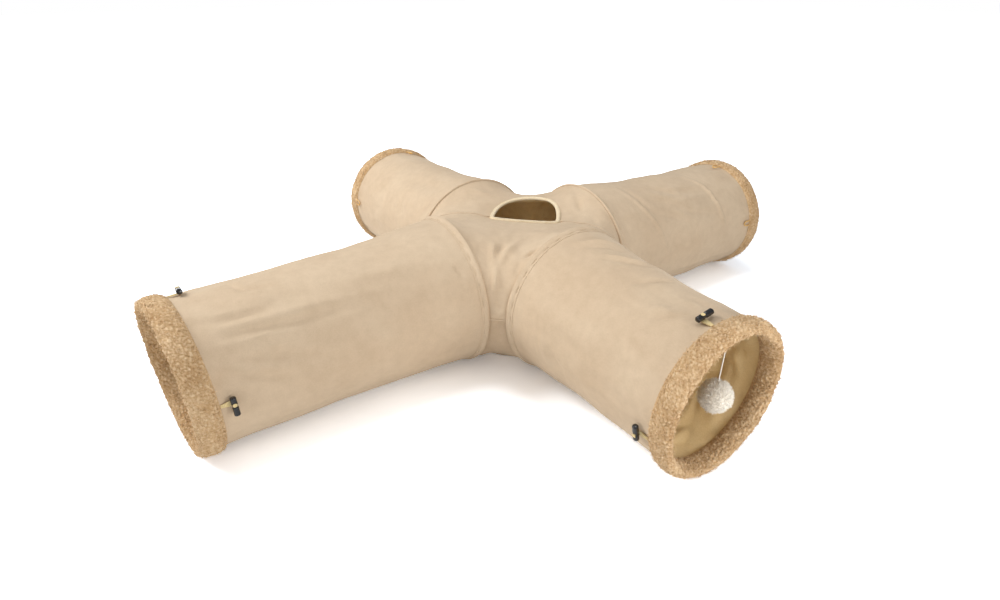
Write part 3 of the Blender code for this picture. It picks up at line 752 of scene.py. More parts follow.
class Leg:
    """One leg: where it goes, and the shape of its cloth."""

    def __init__(self, name):
        self.name = name
        self.quarters = LEG_QUARTERS[name]
        self.body = f"{name}_rim"
        self.way = turned((1, 0, 0), self.quarters)
        self.slope = MOUTH_LEAN.get(name, 0)
        self.reach = REACH[name]
        self.roll_start = self.reach - ROLL_WIDTH
        self.sleeve_end = self.roll_start + SLEEVE_TUCK
        self.knee = blend(HUB_HALF_WIDTH, self.sleeve_end, KNEE_SHARE)
        self.seed = 100 * (self.quarters + 1)
        closures = [j for j in frame["joints"] if j["name"].startswith(name) and j["name"].endswith("_flap")]
        self.closure_angles = [self.angle_of(joint) for joint in closures]

    def angle_of(self, joint):
        """The angle round the leg of a closure's joint."""
        _, across, height = turned(joint["pos_m"], -self.quarters)
        return math.atan2(height - RIM_RADIUS, across)

    def skin(self, along, angle, depth=0.0):
        """The point at an angle round the leg, at a depth under the plain skin, in the leg's frame."""
        inner = blend(HUB_RADIUS, KNEE_RADIUS, (along - HUB_HALF_WIDTH) / (self.knee - HUB_HALF_WIDTH))
        outer = blend(KNEE_RADIUS, SLEEVE_END_RADIUS, (along - self.knee) / (self.sleeve_end - self.knee))
        radius = np.where(along < self.knee, inner, outer) - depth
        share = (along - HUB_HALF_WIDTH) / (self.sleeve_end - HUB_HALF_WIDTH)
        height = blend(HUB_HEIGHT, RIM_RADIUS, share)
        return np.stack((along, radius * np.cos(angle), height + radius * np.sin(angle)), axis=-1)

    def coil_place(self, along, angle):
        """Distance to the nearest turn of the coil, and how slack the cloth is there, from 0 to 1."""
        pitch = (self.roll_start - COIL_END_GAP - COIL_START) / COIL_TURNS
        phase = (along - COIL_START) / pitch - np.mod(angle, math.tau) / math.tau
        gap = phase - np.clip(np.round(phase), 0, COIL_TURNS)
        return gap * pitch, np.sin(np.pi * np.clip(gap, -0.5, 0.5)) ** 2

    def relief(self, along, angle):
        """How far the suede stands off its plain cone."""
        to_wire, slack = self.coil_place(along, angle)
        to_roll = self.roll_start - along
        tube = tube_points(along, angle, SLEEVE_END_RADIUS)
        drag = noise(tube, DRAG_CELLS, self.seed)
        pulled = np.exp(-np.clip(to_roll, 0, None) / DRAG_REACH)
        slant = noise(tube + SLANT_SHEAR * along[:, None] * UP, SLANT_CELLS, self.seed + 1)
        pucker = noise(tube, PUCKER_CELLS, self.seed + 2) * np.exp(-to_roll / PUCKER_REACH)
        relief = RIDGE[self.name] * bell(to_wire, RIDGE_WIDTH) - SAG[self.name] * slack
        relief += DRAG * (DRAG_FAR_SHARE + pulled) * (drag - 0.5 * np.abs(drag)) + SLANT * slant
        relief += PUCKER * pucker
        cloth = np.stack((along, SLEEVE_END_RADIUS * angle), axis=-1)
        for path, height, width in LEG_FOLDS[self.name]:
            path = [(distance, SLEEVE_END_RADIUS * math.radians(turn)) for distance, turn in path]
            relief += crease(cloth, path, height, width)
        for closure_angle in self.closure_angles:
            beside = round_distance(angle, closure_angle)
            behind = ease((CLOSURE_ROOM - to_roll) / CLOSURE_ROOM_EASE)
            under = np.exp(-((beside / BESIDE_CLOSURE) ** 4)) * behind
            relief = blend(relief, np.minimum(relief, -CLOSURE_DENT), under)
        free = ease((along - HUB_HALF_WIDTH - BAND_WIDTH) / FREE_FROM_BAND)
        free *= ease((to_roll + 0.004) / FREE_FROM_ROLL)
        return np.maximum(relief * free, -blend(DEEPEST, DEEPEST_OVER_WIRE, bell(to_wire, NEAR_WIRE)))

    def lean(self, points):
        """Turns the mouth aside: the leg's outer part is sheared along its length."""
        x, y, z = np.moveaxis(np.asarray(points, float), -1, 0)
        share = np.clip((x - self.knee) / (self.roll_start - self.knee), 0, 1)
        return np.stack((x + self.slope * share * y, y, z), axis=-1)

    def model(self, points):
        """Points of the leg's frame in the model's frame, held up by the floor."""
        model_points = turned(self.lean(points), self.quarters)
        model_points[..., 2] = np.maximum(model_points[..., 2], CLEARANCE)
        return model_points

    def fold_with(self, obj):
        """Gives the piece its own copy of its mesh."""
        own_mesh(obj)


def leg_grid(rows, columns, end):
    """(distance along, angle round) of a grid on a leg from the hub, and its faces, which look outwards."""
    along = np.repeat(np.linspace(HUB_HALF_WIDTH + SEAM_GAP, end, rows), columns)
    angle = np.tile(circle(columns), rows)
    return along, angle, grid_faces(rows, columns, wrap=True)[:, ::-1]


def leg_layer(leg, kind, paint, skins):
    """One layer of a leg's cloth, between two skins. It lies on the coil."""
    name = f"{leg.name}_{kind}"
    made = piece(f"{name}_cloth", *closed_wall(*skins), paint, "tunnel", [name])
    leg.fold_with(made)


def sleeve(leg):
    along, angle, faces = leg_grid(SLEEVE_ROWS, SLEEVE_COLUMNS, leg.sleeve_end)
    relief = leg.relief(along, angle)
    outer = leg.model(leg.skin(along, angle, -relief))
    inner = leg.model(leg.skin(along, angle, SUEDE_THICKNESS - relief))
    inner[:, 2] = np.maximum(inner[:, 2], outer[:, 2].min() + SUEDE_THICKNESS)
    leg_layer(leg, "sleeve", SUEDE, (outer, inner, faces))


def lining(leg):
    along, angle, faces = leg_grid(LINING_ROWS, LINING_COLUMNS, leg.sleeve_end)
    to_wire, slack = leg.coil_place(along, angle)
    tube = tube_points(along, angle, SLEEVE_END_RADIUS)
    folds = noise(tube, LONG_FOLD_CELLS, leg.seed + 10)
    small = noise(tube + SMALL_FOLD_SHEAR * along[:, None] * UP, SMALL_FOLD_CELLS, leg.seed + 11)
    sunk = LINING_SAG * slack * (1 + folds) + LONG_FOLD * np.abs(folds) + SMALL_FOLD * np.abs(small)
    sunk += LINING_RIDGE * bell(to_wire, LINING_RIDGE_WIDTH)
    to_pleat = round_distance(angle, math.radians(PLEAT_ANGLE))
    sunk += PLEAT * bell(to_pleat, PLEAT_WIDTH)
    sunk -= PLEAT_SHOULDER * bell(to_pleat - 2 * PLEAT_WIDTH, PLEAT_SHOULDER_WIDTH)
    free = ease((along - HUB_HALF_WIDTH) / LINING_FREE_FROM_HOOP)
    sunk *= ease((leg.sleeve_end - along) / LINING_FADE) * free
    depths = (SKIN_TO_LINING + sunk, SKIN_TO_LINING + LINING_THICKNESS + sunk)
    outer, inner = (leg.model(leg.skin(along, angle, depth)) for depth in depths)
    leg_layer(leg, "lining", LINING, (outer, inner, faces))


def coil(leg):
    """The spring wire between the layers, with its ends closed."""
    steps = round(COIL_TURNS * COIL_STEPS)
    share = np.arange(steps + 1) / steps
    along = blend(COIL_START, leg.roll_start - COIL_END_GAP, share)
    angle = math.tau * COIL_TURNS * share
    depth = WIRE_DEPTH + WIRE_SINK
    centres = leg.skin(along, angle, depth)
    normals = unit(centres - leg.skin(along, angle, depth + WIRE_RADIUS))
    radius = np.full(len(centres), WIRE_RADIUS)
    radius[[0, -1]] = WIRE_RADIUS * CAP_SHARE
    grid, faces = round_bar(centres, normals, radius, 8)
    name = f"{leg.name}_coil"
    made = piece(f"{name}_wire", leg.model(grid.reshape(-1, 3)), faces, STEEL, "tunnel", [name])
    leg.fold_with(made)


def junction_band(leg):
    """The ridge where leg and hub are sewn together: cloth turned over the hub hoop."""
    along, angle, faces = leg_grid(BAND_ROWS, SLEEVE_COLUMNS, HUB_HALF_WIDTH + BAND_WIDTH)
    share = (along - HUB_HALF_WIDTH) / BAND_WIDTH
    waver = 1 + BAND_WAVER * noise(tube_points(along, angle, HUB_RADIUS), BAND_CELLS, leg.seed + 20)
    slope = 1 - ease((share - BAND_PEAK) / (1 - BAND_PEAK))
    rise = BAND_RISE * ease(BAND_PEAK + share / 0.2) * slope * waver
    rise -= STITCH_DIP * bell(share - STITCH_SHARE, 0.07)
    rise = np.maximum(rise, BAND_EDGE)
    outer = leg.model(leg.skin(along, angle, -CLEARANCE - rise))
    inner = leg.model(leg.skin(along, angle, -CLEARANCE / 2))
    inner[:, 2] = np.maximum(inner[:, 2], outer[:, 2].min())
    wall = closed_wall(outer, inner, faces)
    made = piece(f"{leg.name}_band_cloth", *wall, SUEDE, "tunnel", [f"{leg.name}_junction_band"])
    turn = math.tau * np.arange(round(math.tau * HUB_RADIUS / STITCH_PITCH)) * STITCH_PITCH / HUB_RADIUS
    row = np.full(len(turn), HUB_HALF_WIDTH + STITCH_SHARE * BAND_WIDTH)
    seats = leg.model(leg.skin(row, turn, -CLEARANCE - STITCH_HEIGHT * BAND_RISE))
    still = np.zeros(len(turn))
    ways = turned(np.stack((still, -np.sin(turn), np.cos(turn)), -1), leg.quarters)
    outward = turned(tube_points(still, turn, 1), leg.quarters)
    stitches(f"{leg.name}_band_stitches", seats, ways, outward, "suede")


def stitches(name, seats, ways, outward, slot):
    """A row of short threads, each dipping into the cloth at both ends."""
    shares = np.array((-0.5, -0.28, 0.28, 0.5))
    drops = np.array((-1.0, 0.45, 0.45, -1.0)) * STITCH_RADIUS
    centres = seats[:, None] + STITCH_LENGTH * shares[:, None] * ways[:, None]
    centres = centres + drops[:, None] * outward[:, None]
    radii = STITCH_RADIUS * np.array((0.5, 1, 1, 0.5))
    piece(name, *tubes(centres, radii, outward), THREAD, "tunnel", slot=slot)


def roll_section(leg):
    """Distance along the leg, radius and freedom to rise of each ring of the roll.

    The rings go round the roll from the top of its groove to the groove's foot, and back inside it.
    """
    thick = ROLL_THICKNESS / 2
    middle = RIM_RADIUS - thick
    half_width = ROLL_WIDTH / 2
    top = SLEEVE_END_RADIUS + 2 * CLEARANCE
    foot = SLEEVE_END_RADIUS - SKIN_TO_LINING - LINING_THICKNESS - 2 * CLEARANCE
    upper = math.pi - math.asin((top - middle) / thick)
    lower = -math.pi - math.asin((foot - middle) / thick)
    arc = np.linspace(upper, lower, ROLL_ARC_STEPS)
    groove = GROOVE_DEPTH - half_width
    radius = np.concatenate((middle + thick * np.sin(arc), (foot, top)))
    along = np.concatenate((half_width * np.cos(arc), (groove, groove))) + leg.reach - half_width
    steps = np.arange(ROLL_ARC_STEPS)
    free = ease(np.minimum(steps, steps[::-1]) / 4)
    return along, radius, np.concatenate((free, (0, 0)))


def roll(leg):
    """The padded fleece roll, with a groove in its back for both layers of the leg."""
    along, radius, free = roll_section(leg)
    across, up = (np.outer(radius, f(circle(ROLL_COLUMNS))).ravel() for f in (np.cos, np.sin))
    points = np.stack((np.repeat(along, ROLL_COLUMNS), across, RIM_RADIUS + up), axis=-1)
    faces = ring_faces(len(radius), ROLL_COLUMNS)
    normals = normals_of(points, faces)
    warp = np.stack([noise(points, WARP_SIZE, leg.seed + 30 + axis) for axis in range(3)], -1)
    clump = tufts(points + CLUMP_WARP * warp, TUFT, leg.seed + 33)
    curl = tufts(points + CURL_WARP * warp, TUFT * CURL_SHARE, leg.seed + 34)
    lump = noise(points, LUMP_SIZE, leg.seed + 35)
    height = TUFT_HEIGHT * (0.75 * clump + 0.35 * curl) + LUMP * lump - PILE_DEPTH
    points = points + normals * (height * np.repeat(free, ROLL_COLUMNS))[:, None]
    made = piece(f"{leg.name}_roll", leg.model(points), faces, PLUSH, leg.body, [f"{leg.name}_plush_rim"])
    # Painted shade: low in the clefts between clumps, high on the tufts.
    shade_by(made, np.clip(0.25 + 0.55 * clump * (0.5 + 0.5 * curl) + 0.1 * lump, 0, 1))
    pile(leg, points, normals, free)


def pile(leg, points, normals, free):
    """Short curly strands that stand out of the roll, so that its outline is woolly."""
    rng = np.random.default_rng(leg.seed + 40)
    usable = np.flatnonzero(np.repeat(free > 0.9, ROLL_COLUMNS))
    roots = rng.choice(usable, PILE_COUNT, replace=False)
    ways = unit(normals[roots] + PILE_SPREAD * rng.normal(size=(PILE_COUNT, 3)))
    seats = points[roots] - PILE_SINK * normals[roots]
    points, faces, shade = strands(seats, ways, PILE_LENGTH, PILE_RADIUS, PILE_CURL, rng)
    made = piece(f"{leg.name}_pile", leg.model(points), faces, PILE, leg.body, slot="plush", smooth=180)
    # Painted shade: each strand is darker at its root.
    shade_by(made, shade)


def strands(seats, ways, length, radius, curl, rng):
    """Curved pointed strands, as vertices and faces, with a painted shade value that rises from dark at the
    root to light at the tip.
    """
    shares = np.array((0.0, 0.35, 0.7, 1.0))
    count = len(seats)
    side = unit(np.cross(ways, rng.normal(size=(count, 3))))
    long = (length * rng.uniform(0.7, 1.25, count))[:, None, None]
    bend = curl * rng.uniform(0.5, 1.2, count)[:, None, None]
    rise = shares[:, None] * (1 - 0.45 * bend * shares[:, None])
    lean = bend * shares[:, None] ** 2
    centres = seats[:, None] + long * (rise * ways[:, None] + lean * side[:, None])
    radii = radius * np.array((1.0, 0.95, 0.7, 0.25))
    points, faces = tubes(centres, radii, side)
    tone = rng.uniform(-0.25, 0.25, count)[:, None] + shares[None]
    return points, faces, np.clip(np.repeat(tone.ravel(), 3), 0, 1)


# Hub. Its skin has two sides, 1 for the top half and -1 for the base.


def hoop_point(quarter, angle, side):
    """A point of a leg's hub hoop, by its angle from the side that faces the leg before."""
    rise = side * HUB_RADIUS * math.sin(angle)
    return turned((HUB_HALF_WIDTH, -HUB_RADIUS * math.cos(angle), HUB_HEIGHT + rise), quarter)


def signed_power(value, power):
    return math.copysign(abs(value) ** power, value)


def hole_point(angle, spread):
    """A point of the D-shaped outline, spread outwards: straight along the top seam, domed to the rear."""
    turn = (math.cos(angle), math.sin(angle))
    sizes = (HOLE_WIDTH / 2, HOLE_DEPTH if turn[1] > 0 else HOLE_BOW)
    power = 2 / HOLE_POWER
    outline = np.array([size * signed_power(c, power) for size, c in zip(sizes, turn)])
    outward = np.array([signed_power(c, 2 - power) / size for size, c in zip(sizes, turn)])
    along, across = outline + unit(outward) * spread
    along += HOLE_SKEW * max(across / HOLE_DEPTH, 0) * (1 - min((along / HOLE_WIDTH * 2) ** 2, 1))
    slope = (HOLE_FRONT_SAG - HOLE_REAR_SAG) / HOLE_DEPTH
    height = HUB_HEIGHT + HUB_RADIUS - HOLE_FRONT_SAG + slope * max(across, 0)
    return SEAM_WAY * (HOLE_SHIFT + along) + REAR_WAY * across + height * UP


def hole_ring(count, spread):
    return np.array([hole_point(angle, spread) for angle in circle(count)])


def inner_point(angle, side):
    """A point of the skin's inner edge, by its angle from the top seam."""
    if side > 0:
        return hole_point(angle, HOLE_TUCK)
    turn = angle - math.pi / 4
    return (HUB_HALF_WIDTH - FLOOR_PATCH_INSET) * np.array((math.cos(turn), math.sin(turn), 0))


def hub_net(side):
    """One side of the hub's skin, as points, faces and the rows of points along its seams.

    The cloth is a net drawn tight between the hoops, the side seams and an inner edge, which is the
    entry hole at the top and the floor patch at the base. Each knot moves to where its threads balance.
    """
    blocks = []

    def keep(block):
        first = sum(map(len, blocks))
        blocks.append(block)
        return np.arange(first, first + len(block))

    spokes = []
    for quarter in range(4):
        hoop_end = hoop_point(quarter, QUARTER_TURN, side)
        inner_end = inner_point((quarter + 1 / 2) * QUARTER_TURN, side)
        spokes.append(keep(np.linspace(hoop_end, inner_end, SPOKE_STEPS + 1)))
    patches = []
    for quarter in range(4):
        rows = []
        for row in range(HUB_ROWS):
            angle = QUARTER_TURN * row / HUB_ROWS
            before, after = hoop_point(quarter - 1, math.pi - angle, side), hoop_point(quarter, angle, side)
            rows.append(keep(np.linspace(before, after, 2 * SPOKE_STEPS + INNER_STEPS + 1)))
        angles = [(quarter - 1 / 2 + i / INNER_STEPS) * QUARTER_TURN for i in range(1, INNER_STEPS)]
        inner = keep(np.array([inner_point(angle, side) for angle in angles]))
        rows.append(np.concatenate((spokes[quarter - 1], inner, spokes[quarter][::-1])))
        patches.append(np.array(rows))
    points = np.concatenate(blocks)
    draw_tight(points, spokes, patches)
    faces = np.concatenate([quads(patch, flip=True) for patch in patches])
    if side > 0:
        return points, faces, [patch[:, patch.shape[1] // 2] for patch in patches[::2]]
    points, faces = with_floor_patch(points, faces, patches)
    return points, faces[:, ::-1], [patch[0] for patch in patches]


def pairs(first, second):
    return np.stack((first.ravel(), second.ravel()), axis=-1)


def draw_tight(points, spokes, patches):
    knots = [p[1:-1, 1:-1].ravel() for p in patches] + [spoke[1:-1] for spoke in spokes]
    along = [pairs(p[1:-1, :-2], p[1:-1, 2:]) for p in patches]
    along += [pairs(spoke[:-2], spoke[2:]) for spoke in spokes]
    across = [pairs(p[:-2, 1:-1], p[2:, 1:-1]) for p in patches]
    steps = np.arange(1, SPOKE_STEPS)
    for quarter in range(4):
        before, after = patches[quarter][-2], patches[(quarter + 1) % 4][-2]
        across.append(pairs(before[-1 - steps], after[steps]))
    knots, along, across = map(np.concatenate, (knots, along, across))
    seam = np.unique(np.concatenate([p[:, p.shape[1] // 2] for p in patches[::2]]))
    drift = np.zeros((len(knots), 3))
    for _ in range(CLOTH_ROUNDS):
        place = points[knots]
        ends = points[along], points[across]
        spans = [np.linalg.norm(end - place[:, None], axis=2).sum(axis=1) for end in ends]
        pull = (spans[1] / spans[0])[:, None]
        balance = (ends[0].sum(axis=1) * pull + ends[1].sum(axis=1) / pull) / (2 * (pull + 1 / pull))
        drift = MOMENTUM * drift + 0.9 * (balance - place)
        points[knots] = place + drift
        points[seam] -= np.outer(points[seam] @ REAR_WAY, REAR_WAY)


def with_floor_patch(points, faces, patches):
    """Closes the base with rings of cloth that shrink to the middle of the floor patch."""
    last = SPOKE_STEPS + INNER_STEPS
    edge = np.concatenate([p[-1][SPOKE_STEPS:last] for p in patches])
    rings = [edge]
    for ring in range(1, FLOOR_PATCH_RINGS):
        shrunk = points[edge] * (1 - ring / FLOOR_PATCH_RINGS)
        rings.append(np.arange(len(points), len(points) + len(edge)))
        points = np.concatenate((points, shrunk))
    index = wrapped(np.array(rings))
    middle = np.full(len(edge), len(points))
    points = np.concatenate((points, np.zeros((1, 3))))
    centre = np.stack((index[-1, :-1], index[-1, 1:], middle, middle), axis=-1)
    return points, np.concatenate((faces, quads(index, flip=True), centre))


def seam_distances(points, side):
    """Distances from each point of the hub's skin to the hoops, the side seam and the inner edge."""
    hoops = HUB_HALF_WIDTH - np.abs(points[:, :2]).max(axis=1)
    side_seam = side * (points[:, 2] - HUB_HEIGHT)
    if side < 0:
        return hoops, side_seam, points[:, 2]
    gaps = np.linalg.norm(points[:, None] - hole_ring(120, HOLE_TUCK)[None], axis=2)
    return hoops, side_seam, gaps.min(axis=1)


def inward_ways(points, faces, side):
    """The way into the hub at each point of its skin. On a border it stays in the plane of the seam."""
    ways = -normals_of(points, faces)
    planes = (
        (np.array((1.0, 0, 0)), np.abs(points[:, 0]) - HUB_HALF_WIDTH),
        (np.array((0, 1.0, 0)), np.abs(points[:, 1]) - HUB_HALF_WIDTH),
        (UP, points[:, 2] - HUB_HEIGHT),
        (REAR_WAY, np.where(side > 0, points @ REAR_WAY, 1)),
    )
    for axis, distance in planes:
        on = np.abs(distance) < CLEARANCE / 2
        ways[on] -= np.outer(ways[on] @ axis, axis)
    return unit(ways)


def hub_relief(points, side):
    """How far the hub's cloth stands off the drawn net."""
    hoops, side_seam, inner = seam_distances(points, side)
    broad = noise(points, HUB_BROAD_SIZE, 700 + side)
    ripples = noise(points @ np.diag((1, 1, 0.45)), HUB_RIPPLE_SIZE, 710 + side)
    relief = HUB_BROAD * broad + HUB_RIPPLE * (ripples - 0.6 * np.abs(ripples))
    if side > 0:
        relief += SIDE_PUFF * bell(side_seam - 0.011, 0.010)
        for path, height, width in HUB_FOLDS:
            relief += crease(points, path, height, width)
        top_seam = np.abs(points @ REAR_WAY)
        relief += TOP_PUFF * bell(top_seam - 0.005, 0.004) - TOP_DIP * bell(top_seam, 0.0022)
    else:
        folds = noise(points @ np.diag((1, 1, 0.25)), BASE_FOLD_SIZE, 720)
        relief += BASE_FOLD * folds - BASE_TUCK * bell(side_seam, 0.03)
    free = ease(hoops / FREE_FROM_HOOP) * ease((inner - 0.001) / FREE_FROM_EDGE)
    return relief * (free * ease((side_seam + 0.001) / FREE_FROM_SEAM))


def hub():
    """The hub's suede panels with their seams, and its khaki lining, which is one piece."""
    lining_walls, lining_area = [], 0
    for side in (1, -1):
        points, faces, seams = hub_net(side)
        inward = inward_ways(points, faces, side)
        outer = points - inward * hub_relief(points, side)[:, None]
        seam_cords("top" if side > 0 else "side", outer, inward, seams)
        inner = outer + inward * SUEDE_THICKNESS
        if side > 0:
            for half, way in (("front", -REAR_WAY), ("rear", REAR_WAY)):
                chosen = faces[points[faces].mean(axis=1) @ way > 0]
                skins, chosen = used_only((outer, inner), chosen)
                wall = closed_wall(*skins, chosen)
                hub_cloth(half, f"hub_{half}_panel", SUEDE, wall)
        else:
            outer[:, 2] = np.maximum(outer[:, 2], 0)
            inner[:, 2] = np.maximum(inner[:, 2], SUEDE_THICKNESS)
            wall = closed_wall(outer, inner, faces)
            # The base panel gets the darker suede: its nap runs the other way, and it carries painted shade
            # for facing down.
            hub_cloth("base", "hub_base_panel", SUEDE_NAP_AND_PAINTED_SHADE, wall, "suede")
        skin = hub_lining_skin(points, inward, side)
        lining_walls.append(closed_wall(skin, skin + inward * LINING_THICKNESS, faces))
        lining_area += surface(skin, faces)
    (top, top_faces), (base, base_faces) = lining_walls
    wall = np.concatenate((top, base)), np.concatenate((top_faces, base_faces + len(top)))
    hub_cloth("lining", "hub_lining", LINING, wall)


def hub_cloth(name, node, paint, wall, slot=None):
    """A piece of the hub's cloth."""
    made = piece(f"hub_{name}_cloth", *wall, paint, "tunnel", [node], slot)


def hub_lining_skin(points, inward, side):
    """The outer skin of the hub's lining, which hangs a little slack under the suede."""
    hoops, _, inner_edge = seam_distances(points, side)
    free = ease(hoops / LINING_FREE_FROM_HOOP) * ease(inner_edge / LINING_FREE_FROM_HOOP)
    creases = np.abs(noise(points, HUB_LINING_FOLD_SIZE, 740 + side))
    slack = LINING_SLACK * free * (1 + HUB_LINING_FOLD * creases)
    depth = SKIN_TO_LINING * (ease(inner_edge / 0.012) if side > 0 else 1) + slack
    return points + inward * depth[:, None]


def seam_cords(name, skin, inward, seams):
    """The turned-in edges of two panels stand up a little along their seam."""
    for number, seam in enumerate(seams):
        radius = SEAM_CORD_RADIUS[name]
        line = resampled(skin[seam] - inward[seam] * radius * SEAM_CORD_RISE, SEAM_CORD_STEPS)
        ripple = 1 + 0.14 * noise(line, 0.006, 780 + number)
        normals = -resampled(inward[seam], SEAM_CORD_STEPS)
        grid, faces = round_bar(line, normals, radius * ripple, 10)
        points = capped(grid)
        points[:, 2] = np.maximum(points[:, 2], CLEARANCE)
        piece(f"hub_{name}_seam_{number}", points, faces, SUEDE, "tunnel")


def entry_binding():
    """Bias tape folded over the edge of the hole, a little uneven, with its row of stitches."""
    centres = hole_ring(BINDING_STEPS, 0)
    across = unit(hole_ring(BINDING_STEPS, BINDING_HALF_WIDTH) - centres)
    heading = unit(np.roll(centres, -1, axis=0) - np.roll(centres, 1, axis=0))
    upward = unit(np.cross(across, heading))
    upward *= np.sign(upward @ UP)[:, None]
    ripple = 1 + 0.10 * noise(centres, 0.012, 760) + 0.05 * noise(centres, 0.004, 761)
    wide = BINDING_HALF_WIDTH * (0.5 + 0.5 * ripple)[:, None, None]
    tall = BINDING_HALF_HEIGHT * ripple[:, None, None]
    x, y = squared_circle(BINDING_SIDES, 0.8)
    spokes = wide * x[:, None] * across[:, None] + tall * y[:, None] * upward[:, None]
    points = (centres[:, None] + spokes).reshape(-1, 3)
    faces = ring_faces(BINDING_STEPS, BINDING_SIDES)
    piece("entry_tape", points, faces, BINDING, "tunnel", ["entry_binding"])
    row = centres + 0.45 * BINDING_HALF_WIDTH * across + 0.96 * BINDING_HALF_HEIGHT * upward
    travelled = travel(np.concatenate((row, row[:1])))
    count = int(travelled[-1] / STITCH_PITCH)
    spots = travelled[-1] * np.arange(count) / count
    index = np.searchsorted(travelled, spots, side="right") - 1
    stitches("entry_stitches", row[index], heading[index], upward[index], "binding")


# Closures


def stitch_frame(leg, joint):
    """(origin, axes) of a tab or loop: X towards the hub, Y round the leg, Z away from the skin."""
    origin = np.array(joint["pos_m"])
    sideways = -unit(np.array(joint["axis"], float))
    local = turned(origin, -leg.quarters)
    along = local[0] - leg.slope * local[1]
    angle = leg.angle_of(joint)
    ends = [leg.lean(leg.skin(np.array(along - step), angle)) for step in (0, TAB_LENGTH)]
    inward = turned(ends[1] - ends[0], leg.quarters)
    inward = unit(inward - sideways * (inward @ sideways))
    return origin, np.array((inward, sideways, np.cross(inward, sideways)))


def placed(points, place):
    origin, axes = place
    return origin + np.asarray(points) @ axes


def tab(leg, side):
    """Ribbed elastic with a soft arch, and its end drawn up through the toggle's eye as a knot."""
    place = stitch_frame(leg, joint_named(f"{leg.name}_{side}_tab_flap"))
    rows, columns = 30, 4 * TAB_RIBS + 1
    share, across = np.meshgrid(np.linspace(0, 1, rows), np.linspace(-1, 1, columns), indexing="ij")
    share, across = share.ravel(), across.ravel()
    ribs = TAB_RIB_HEIGHT * np.cos(math.pi * TAB_RIBS * across)
    arch = TAB_ARCH * np.sin(math.pi * share)
    width = TAB_WIDTH / 2 * (0.60 + 0.40 * ease(share / 0.6)) * (1 - 0.25 * ease((share - 0.9) / 0.1))
    top = np.stack((TAB_LENGTH * share, width * across, ribs + arch * (1 - across**2) - TAB_SINK), -1)
    back = top - UP * (TAB_THICKNESS - 4 * TAB_SINK)
    strap, strap_faces = closed_wall(top, back, grid_faces(rows, columns, wrap=False))
    knot, knot_faces = lathe(knot_profile(), 20, 0.75)
    knot = knot + np.array((TAB_EYE_DISTANCE, 0, 0))
    points = placed(np.concatenate((strap, knot)), place)
    faces = np.concatenate((strap_faces, knot_faces + len(strap)))
    name = f"{leg.name}_{side}_toggle_tab"
    piece(f"{name}_elastic", points, faces, ELASTIC, f"{leg.name}_{side}_tab", [name])


def knot_profile():
    """(radius, height) of the elastic that stands up through the eye and is knotted over it."""
    top = CLEARANCE + 2 * TOGGLE_RADIUS
    return (
        (0.0001, -TAB_THICKNESS / 2),
        (0.0019, -TAB_THICKNESS / 2),
        (0.0018, top - 0.0012),
        (KNOT_RADIUS * 0.9, top - 0.0009),
        (KNOT_RADIUS, top - 0.0003),
        (KNOT_RADIUS * 0.86, top + 0.0004),
        (KNOT_RADIUS * 0.45, top + 0.0006),
        (0.0001, top + 0.0005),
    )


def toggle_body():
    """Moulded bar along Y with its eye at the origin: a capped end, a slim neck, and a framed window."""
    half = TOGGLE_LENGTH / 2
    shoulder = half - TOGGLE_ROUNDING
    spans = ((-half, -shoulder, 6), (-shoulder, shoulder, 56), (shoulder, half, 6))
    along = np.unique(np.round(np.concatenate([np.linspace(*span) for span in spans]), 7))
    tip = np.clip((half - np.abs(along)) / TOGGLE_ROUNDING, 0, 1)
    round_end = 0.55 + 0.45 * np.sqrt(1 - (1 - tip) ** 2)
    round_end[[0, -1]] = CAP_SHARE
    start, end = TOGGLE_NECK_SPAN
    neck = ease((along - start) / 0.0007) * ease((end - along) / 0.0026)
    radius = TOGGLE_RADIUS * round_end * (1 - TOGGLE_NECK * neck)
    sides = 36
    x, z = squared_circle(sides, TOGGLE_SQUARENESS)
    points = np.stack((np.outer(radius, x), np.repeat(along[:, None], sides, 1), np.outer(radius, z)), -1)
    points = points.reshape(-1, 3)
    points[:, 1] -= TOGGLE_EYE_OFFSET
    wide, long = np.abs(points[:, :2]).T
    window = np.maximum(wide / WINDOW_HALF_WIDTH, long / WINDOW_HALF_LENGTH)
    points[:, 2] -= WINDOW_DEPTH * (ease((1.05 - window) / 0.25) * (points[:, 2] > 0))
    points[:, 0] += np.sign(points[:, 0]) * PARTING_LINE * bell(points[:, 2], 0.0002)
    return points, grid_faces(len(radius), sides, wrap=True)


def toggle(leg, side):
    flap = joint_named(f"{leg.name}_{side}_tab_flap")
    swivel = joint_named(f"{leg.name}_{side}_toggle_swivel")
    place = np.array(swivel["pos_m"]), stitch_frame(leg, flap)[1]
    name = f"{leg.name}_{side}_toggle"
    points, faces = toggle_body()
    piece(f"{name}_bar", placed(points, place), faces, PLASTIC, name, [name], smooth=35)


